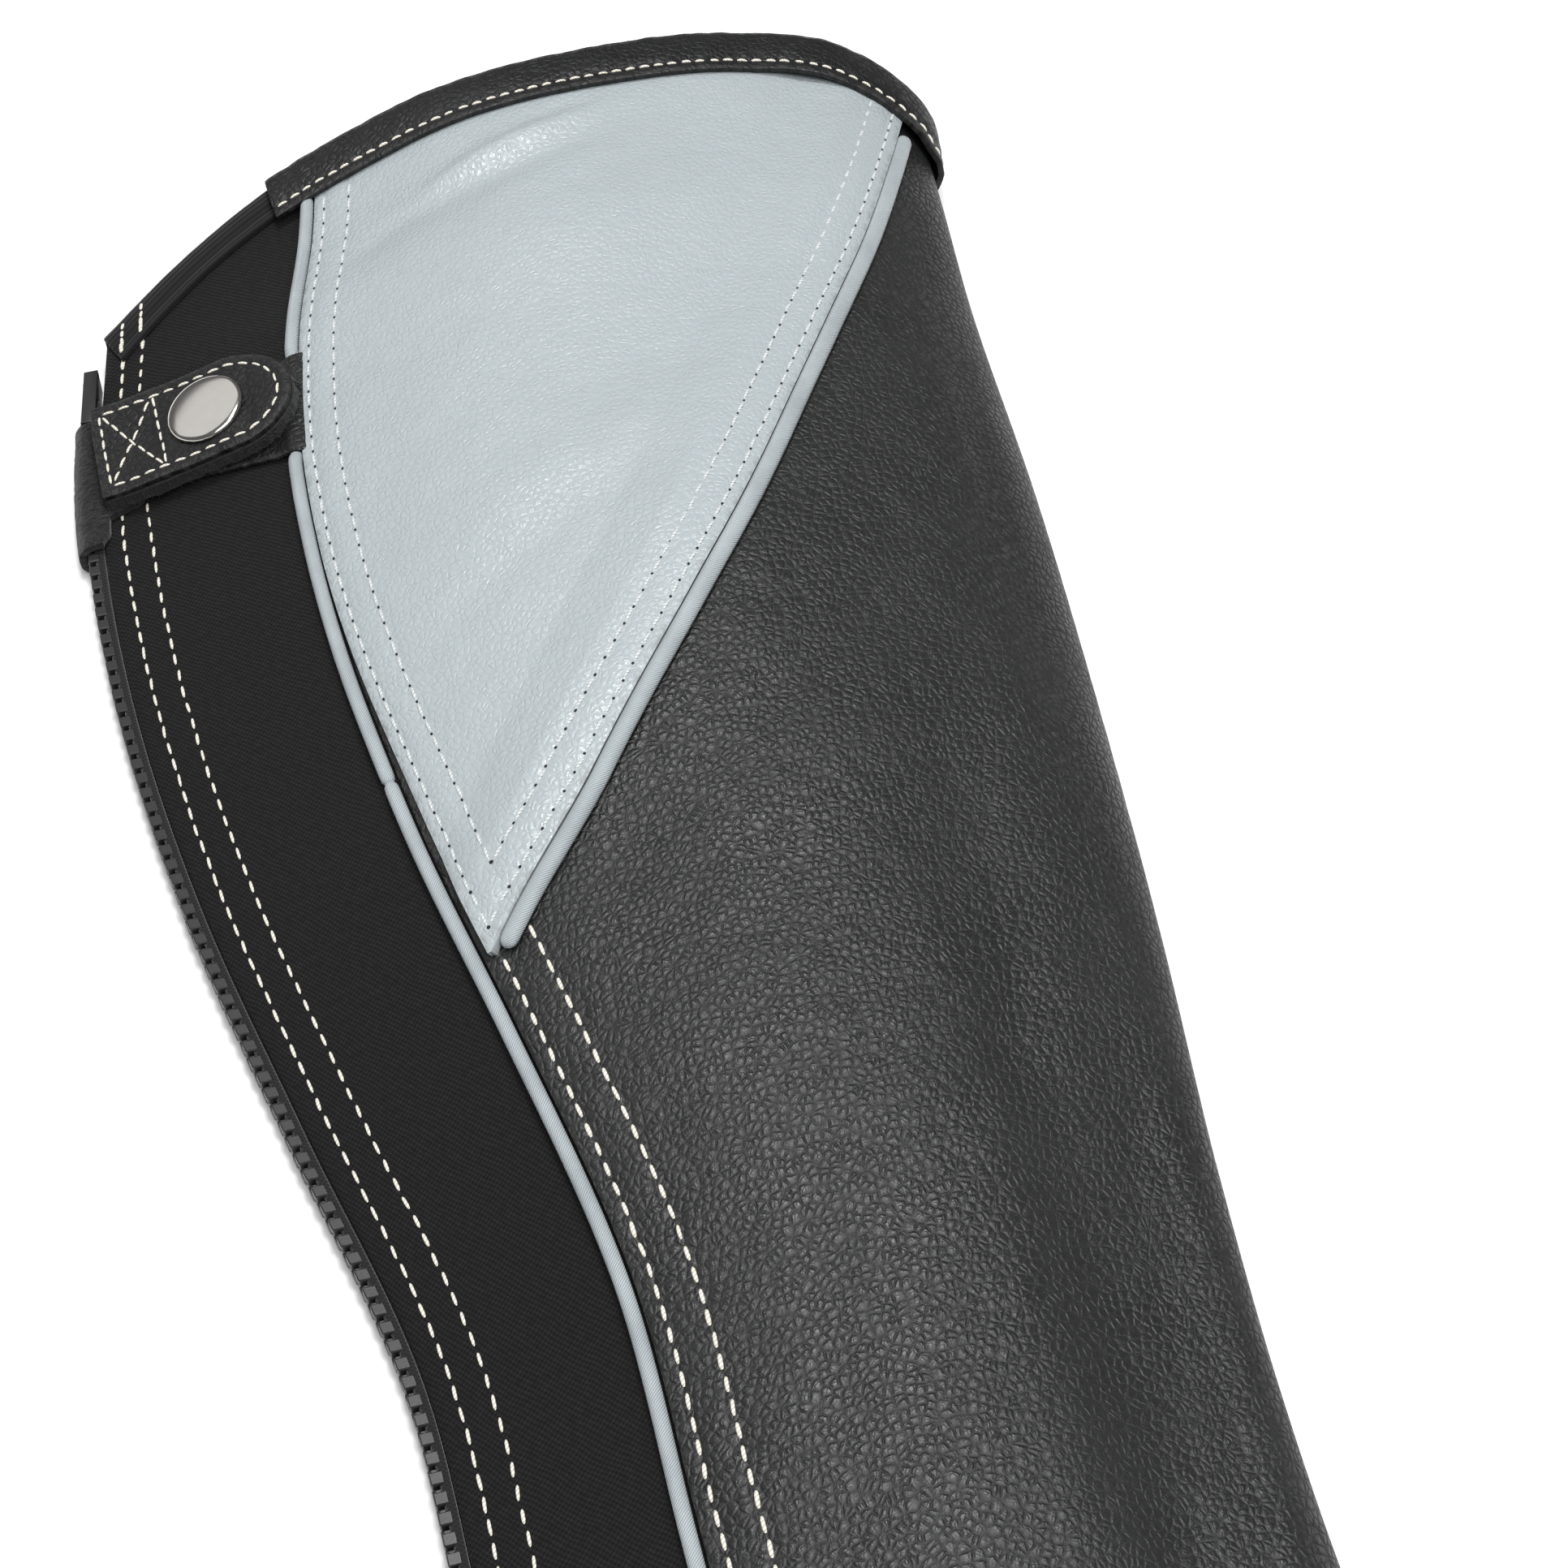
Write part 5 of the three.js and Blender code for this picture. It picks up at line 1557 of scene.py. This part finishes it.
def places_along(path, pitch, start=0.5):
    """Points, directions and normals at even steps along a path of points and normals."""
    points, normals = path
    run = run_along(points)
    count = max(1, int(round(run[-1] / pitch)))
    at = (np.arange(count) + start) * run[-1] / count
    at = at[at < run[-1] + 1e-6]

    def read(table, where):
        return np.stack([np.interp(where, run, table[:, k]) for k in range(3)], axis=1)

    after, before = np.minimum(at + 0.6, run[-1]), np.maximum(at - 0.6, 0)
    ahead = unit(read(points, after) - read(points, before))
    side = unit(np.cross(ahead, read(normals, at)))
    return read(points, at), ahead, side, np.cross(side, ahead)


def placed_on(paths, pitch, start=0.5):
    """The places of all rows in one: centre, ahead, side and normal."""
    rows = [places_along(path, pitch, start) for path in paths]
    return [np.concatenate(part) for part in zip(*rows)]


def sew(name, paths, material, pitch=3.9, length=2.95, radius=0.38, arch=0.3, seed=1):
    centre, ahead, side, normal = placed_on(paths, pitch)
    piece = model_stitch(name)
    at, number = many(piece, len(centre))
    rng = np.random.default_rng(seed)
    turn = rng.normal(0.05, 0.035, len(centre))[number][:, None]
    long = (length / 2 * rng.normal(1, 0.035, len(centre)))[number]
    thick = (radius * rng.normal(1, 0.05, len(centre)))[number]
    shift = rng.normal(0, 0.05, (len(centre), 2))[number]
    s = at[:, 2] * long
    lift = at[:, 1] * thick * 0.85 + radius * 0.45 - arch * at[:, 2] ** 2
    aside = at[:, 0] * thick + shift[:, 0]
    put_points(piece, centre[number]
               + (s + shift[:, 1])[:, None] * (ahead[number] + turn * side[number])
               + aside[:, None] * side[number] + lift[:, None] * normal[number])
    wear(piece, [material], 60)


HOLE_SIZE = np.array([0.391, 0.34, 0.1])  # half sizes ahead, aside and up


def punch_holes(name, paths, pitch):
    """Needle holes between the stitches: flat dimples on the leather, coloured dark as painted shade
    of the holes.
    """
    centre, ahead, side, normal = placed_on(paths, pitch, 0.0)
    piece = primitive(name, bpy.ops.mesh.primitive_uv_sphere_add,
                      segments=8, ring_count=4, radius=1)
    name_cut_map(piece)
    at, number = many(piece, len(centre))
    at *= HOLE_SIZE
    put_points(piece, centre[number] + at[:, :1] * ahead[number] + at[:, 1:2] * side[number]
               + at[:, 2:] * normal[number])
    wear(piece, [needle_hole_shade], 60)


# %% Rows along the panels
FAR = 50.0  # a distance from a seam at which nothing of it is felt
ROW_LOW = 10.8  # where the hem binding ends
TOP_COVER = 11.2  # how far the top binding reaches down


def row_on(panel_offset, line, y, left=FAR, right=FAR):
    """The path of a row of stitches on a panel, where the panel's own face is there."""
    across = line(y)
    off = panel_offset(across, y, left + 0 * y, right + 0 * y)
    return skin(across, y, off), skin_normal(across, y)


def between(line, low, high_gap, step=0.7):
    """Heights for a row, from low up to high_gap under the top edge."""
    y = np.arange(low, 430, step)
    return y[y < top_y(line(y)) - high_gap]


def crossing(left_line, right_line):
    """The height where two rows meet above the calf panel's tip."""
    y = np.arange(CALF_TIP, CALF_TIP + 60, 0.2)
    meets = left_line(y) < right_line(y)
    return float(y[np.argmax(meets)])


calf_rows = []
for left_distance, right_distance in zip(CALF_BACK_ROWS, CALF_FRONT_ROWS):
    left_line = beside(calf_left, left_distance)
    right_line = beside(calf_seam, -right_distance)
    tip = crossing(left_line, right_line)
    calf_rows.append(row_on(calf_offset, left_line, between(left_line, tip, TOP_COVER),
                            left=left_distance))
    calf_rows.append(row_on(calf_offset, right_line, between(right_line, tip, TOP_COVER),
                            right=right_distance))
sew("calf_stitches", calf_rows, pale_thread, 4.0, 3.0, 0.31, seed=2)
punch_holes("calf_needle_hole_shade", calf_rows, 4.0)

back_rows = []
for distance in BACK_ROWS:
    line = beside(back_seam, distance)
    y = np.arange(10.5, 260, 0.7)
    y = y[line(y) > moved(calf_seam(y), y, 3.5) * (y > CALF_TIP)]
    y = y[(y < CALF_TIP) | (line(y) > calf_seam(y))]
    back_rows.append(row_on(main_offset, line, y, left=distance))
sew("back_stitches", back_rows, cream_thread, seed=3)


def zip_row_line(distance):
    """The second row comes a little closer to the first one near the top."""
    line = beside(zip_edge, distance)
    closer = 1.5 if distance > ZIP_ROWS[0] else 0.0
    return lambda y: moved(line(y), y, -closer * ease((y - 335) / 40))


zip_rows = []
for distance in ZIP_ROWS:
    line = zip_row_line(distance)
    zip_rows.append(row_on(stretch_offset, line, between(line, 10.5, 8.6), left=distance))
sew("zip_stitches", zip_rows, cream_thread, 4.0, 3.05, 0.31, seed=4)
locked_ends = []
for distance in ZIP_ROWS:
    line = zip_row_line(distance)
    y = between(line, 370, 0.6, step=0.3)
    y = y[y > top_y(line(y)) - 12]
    rise = ease((y - top_y(line(y)) + 9.2) / 1.5)
    off = CLOTH_TOP - 0.1 + rise * (GAP + 1.0)
    locked_ends.append((skin(line(y), y, off), skin_normal(line(y), y)))
sew("zip_locked_ends", locked_ends, cream_thread, 2.1, 2.7, 0.42, seed=14)


def inner_side_row(offset, seam, distance):
    line = beside(seam, -distance)
    return row_on(offset, line, between(line, ROW_LOW, TOP_COVER), right=distance)


sew("inner_stitches", [inner_side_row(main_offset, inner_seam, d) for d in INNER_ROWS],
    cream_thread, seed=5, arch=0.2)
sew("under_zip_stitches", [inner_side_row(inner_offset, under_zip_edge, d) for d in UNDER_ZIP_ROWS],
    cream_thread, seed=6, arch=0.2)

# %% Rows along the bindings, and on the tab
def row_on_binding(edge, direction, start, end, stack, width):
    across = np.linspace(start, end, 900)
    at, y = edge_place(edge, direction, across, width - STITCH_IN)
    off = np.interp(across, stack[:, 0], stack[:, 1]) + GAP + BINDING_LEATHER - 0.25
    return skin(at, y, off), skin_normal(at, y)


sew("top_stitches", [row_on_binding(top_y, 1, 0.203, 1.982, TOP_STACK, TOP_LEG)],
    cream_thread, 3.0, 2.35, 0.31, seed=7)
sew("hem_stitches", [row_on_binding(hem_y, -1, 0.018, 1.982, HEM_STACK, HEM_LEG)],
    cream_thread, 3.3, 2.5, 0.31, seed=8)


def tab_path(corners):
    """A straight-sided row through corners given as along, side on the tab."""
    corners = np.array(corners, float)
    length = run_along(corners)
    at = np.arange(0, length[-1], 0.5)
    along = np.interp(at, length, corners[:, 0])
    side = np.interp(at, length, corners[:, 1])
    border = tab_border(along, side, TAB_HALF, TAB_LENGTH)
    off = TAB_TOP + tab_face(along, side, border)
    place = tab_place(along, side)
    return skin(*place, off), skin_normal(*place)


IN = 2.3
END_ROUND = TAB_HALF - IN
turn = np.linspace(-np.pi / 2, np.pi / 2, 40)
rounded = np.stack([
    TAB_LENGTH - TAB_HALF + END_ROUND * np.cos(turn), END_ROUND * np.sin(turn)], axis=1)
BOX_END = 14.0
tab_rows = [
    tab_path([(IN, -END_ROUND), *rounded, (IN, END_ROUND)]),
    tab_path([(IN, END_ROUND), (IN, -END_ROUND)]),
    tab_path([(BOX_END, END_ROUND), (BOX_END, -END_ROUND)]),
    tab_path([(IN + 0.6, END_ROUND - 0.6), (BOX_END - 0.6, 0.6 - END_ROUND)]),
    tab_path([(IN + 0.6, 0.6 - END_ROUND), (BOX_END - 0.6, END_ROUND - 0.6)]),
]
sew("tab_stitches", tab_rows, cream_thread, 3.2, 2.6, 0.27, seed=9)

# %% [markdown]
# ## Stage, light and camera
# A plain pale floor, broad soft light from above and behind, and the camera where the
# photograph was taken from. The broad light is what shows the grain: it glances off the
# pebbles of the black leather.

# %% Floor, lights and camera
def make_floor():
    floor = primitive("floor", bpy.ops.mesh.primitive_plane_add, size=6, location=(0, 0, -0.0002))
    material, wires, shader = new_material("floor_paper")
    wires.feed(shader, {"Base Color": (0.93, 0.93, 0.93, 1), "Roughness": 0.9})
    floor.data.materials.append(material)


def soft_light(name, place, target, size, power):
    deselect()
    bpy.ops.object.light_add(type="AREA", location=place)
    lamp = bpy.context.object
    lamp.name = name
    lamp.data.shape = "RECTANGLE"
    lamp.data.size, lamp.data.size_y = size
    lamp.data.energy = power
    aim = Vector(target) - Vector(place)
    lamp.rotation_euler = aim.to_track_quat("-Z", "Y").to_euler()


CAMERA_TARGET = Vector((20 + TO_PART[0], 253 + TO_PART[1], TO_PART[2])) * MM
CAMERA_DISTANCE = 0.6
CAMERA_RISE = math.radians(52)
CAMERA_TURN = Vector((0.2672, 0.9636, 0))  # direction it looks along, in plan
FIELD_OF_VIEW = math.radians(27)

make_floor()
soft_light("front_key", (0.1, -0.6, 1.25), (0, 0, 0), (1.2, 1.0), 17)
soft_light("wide_box", (-0.6, 1.0, 0.95), (0, 0.03, 0), (1.5, 0.9), 3.3)
soft_light("sheen_lamp", (0.10, 0.33, 1.28), (0.0, -0.1, 0), (0.34, 0.34), 11.5)
world = bpy.data.worlds.new("studio")
bpy.context.scene.world = world
world.use_nodes = True
background = world.node_tree.nodes["Background"]
background.inputs["Color"].default_value = (1, 1, 1, 1)
background.inputs["Strength"].default_value = 0.14

camera_data = bpy.data.cameras.new("camera")
camera = bpy.data.objects.new("camera", camera_data)
bpy.context.collection.objects.link(camera)
camera_data.sensor_width = 36
camera_data.lens = 18 / math.tan(FIELD_OF_VIEW / 2)
camera_data.clip_start = 0.01
back = -CAMERA_TURN * math.cos(CAMERA_RISE) + Vector((0, 0, math.sin(CAMERA_RISE)))
camera.location = CAMERA_TARGET + back * CAMERA_DISTANCE
camera.rotation_mode = "QUATERNION"
camera.rotation_quaternion = (-back).to_track_quat("-Z", "Y")
bpy.context.scene.camera = camera
bpy.context.scene.view_settings.view_transform = "Standard"
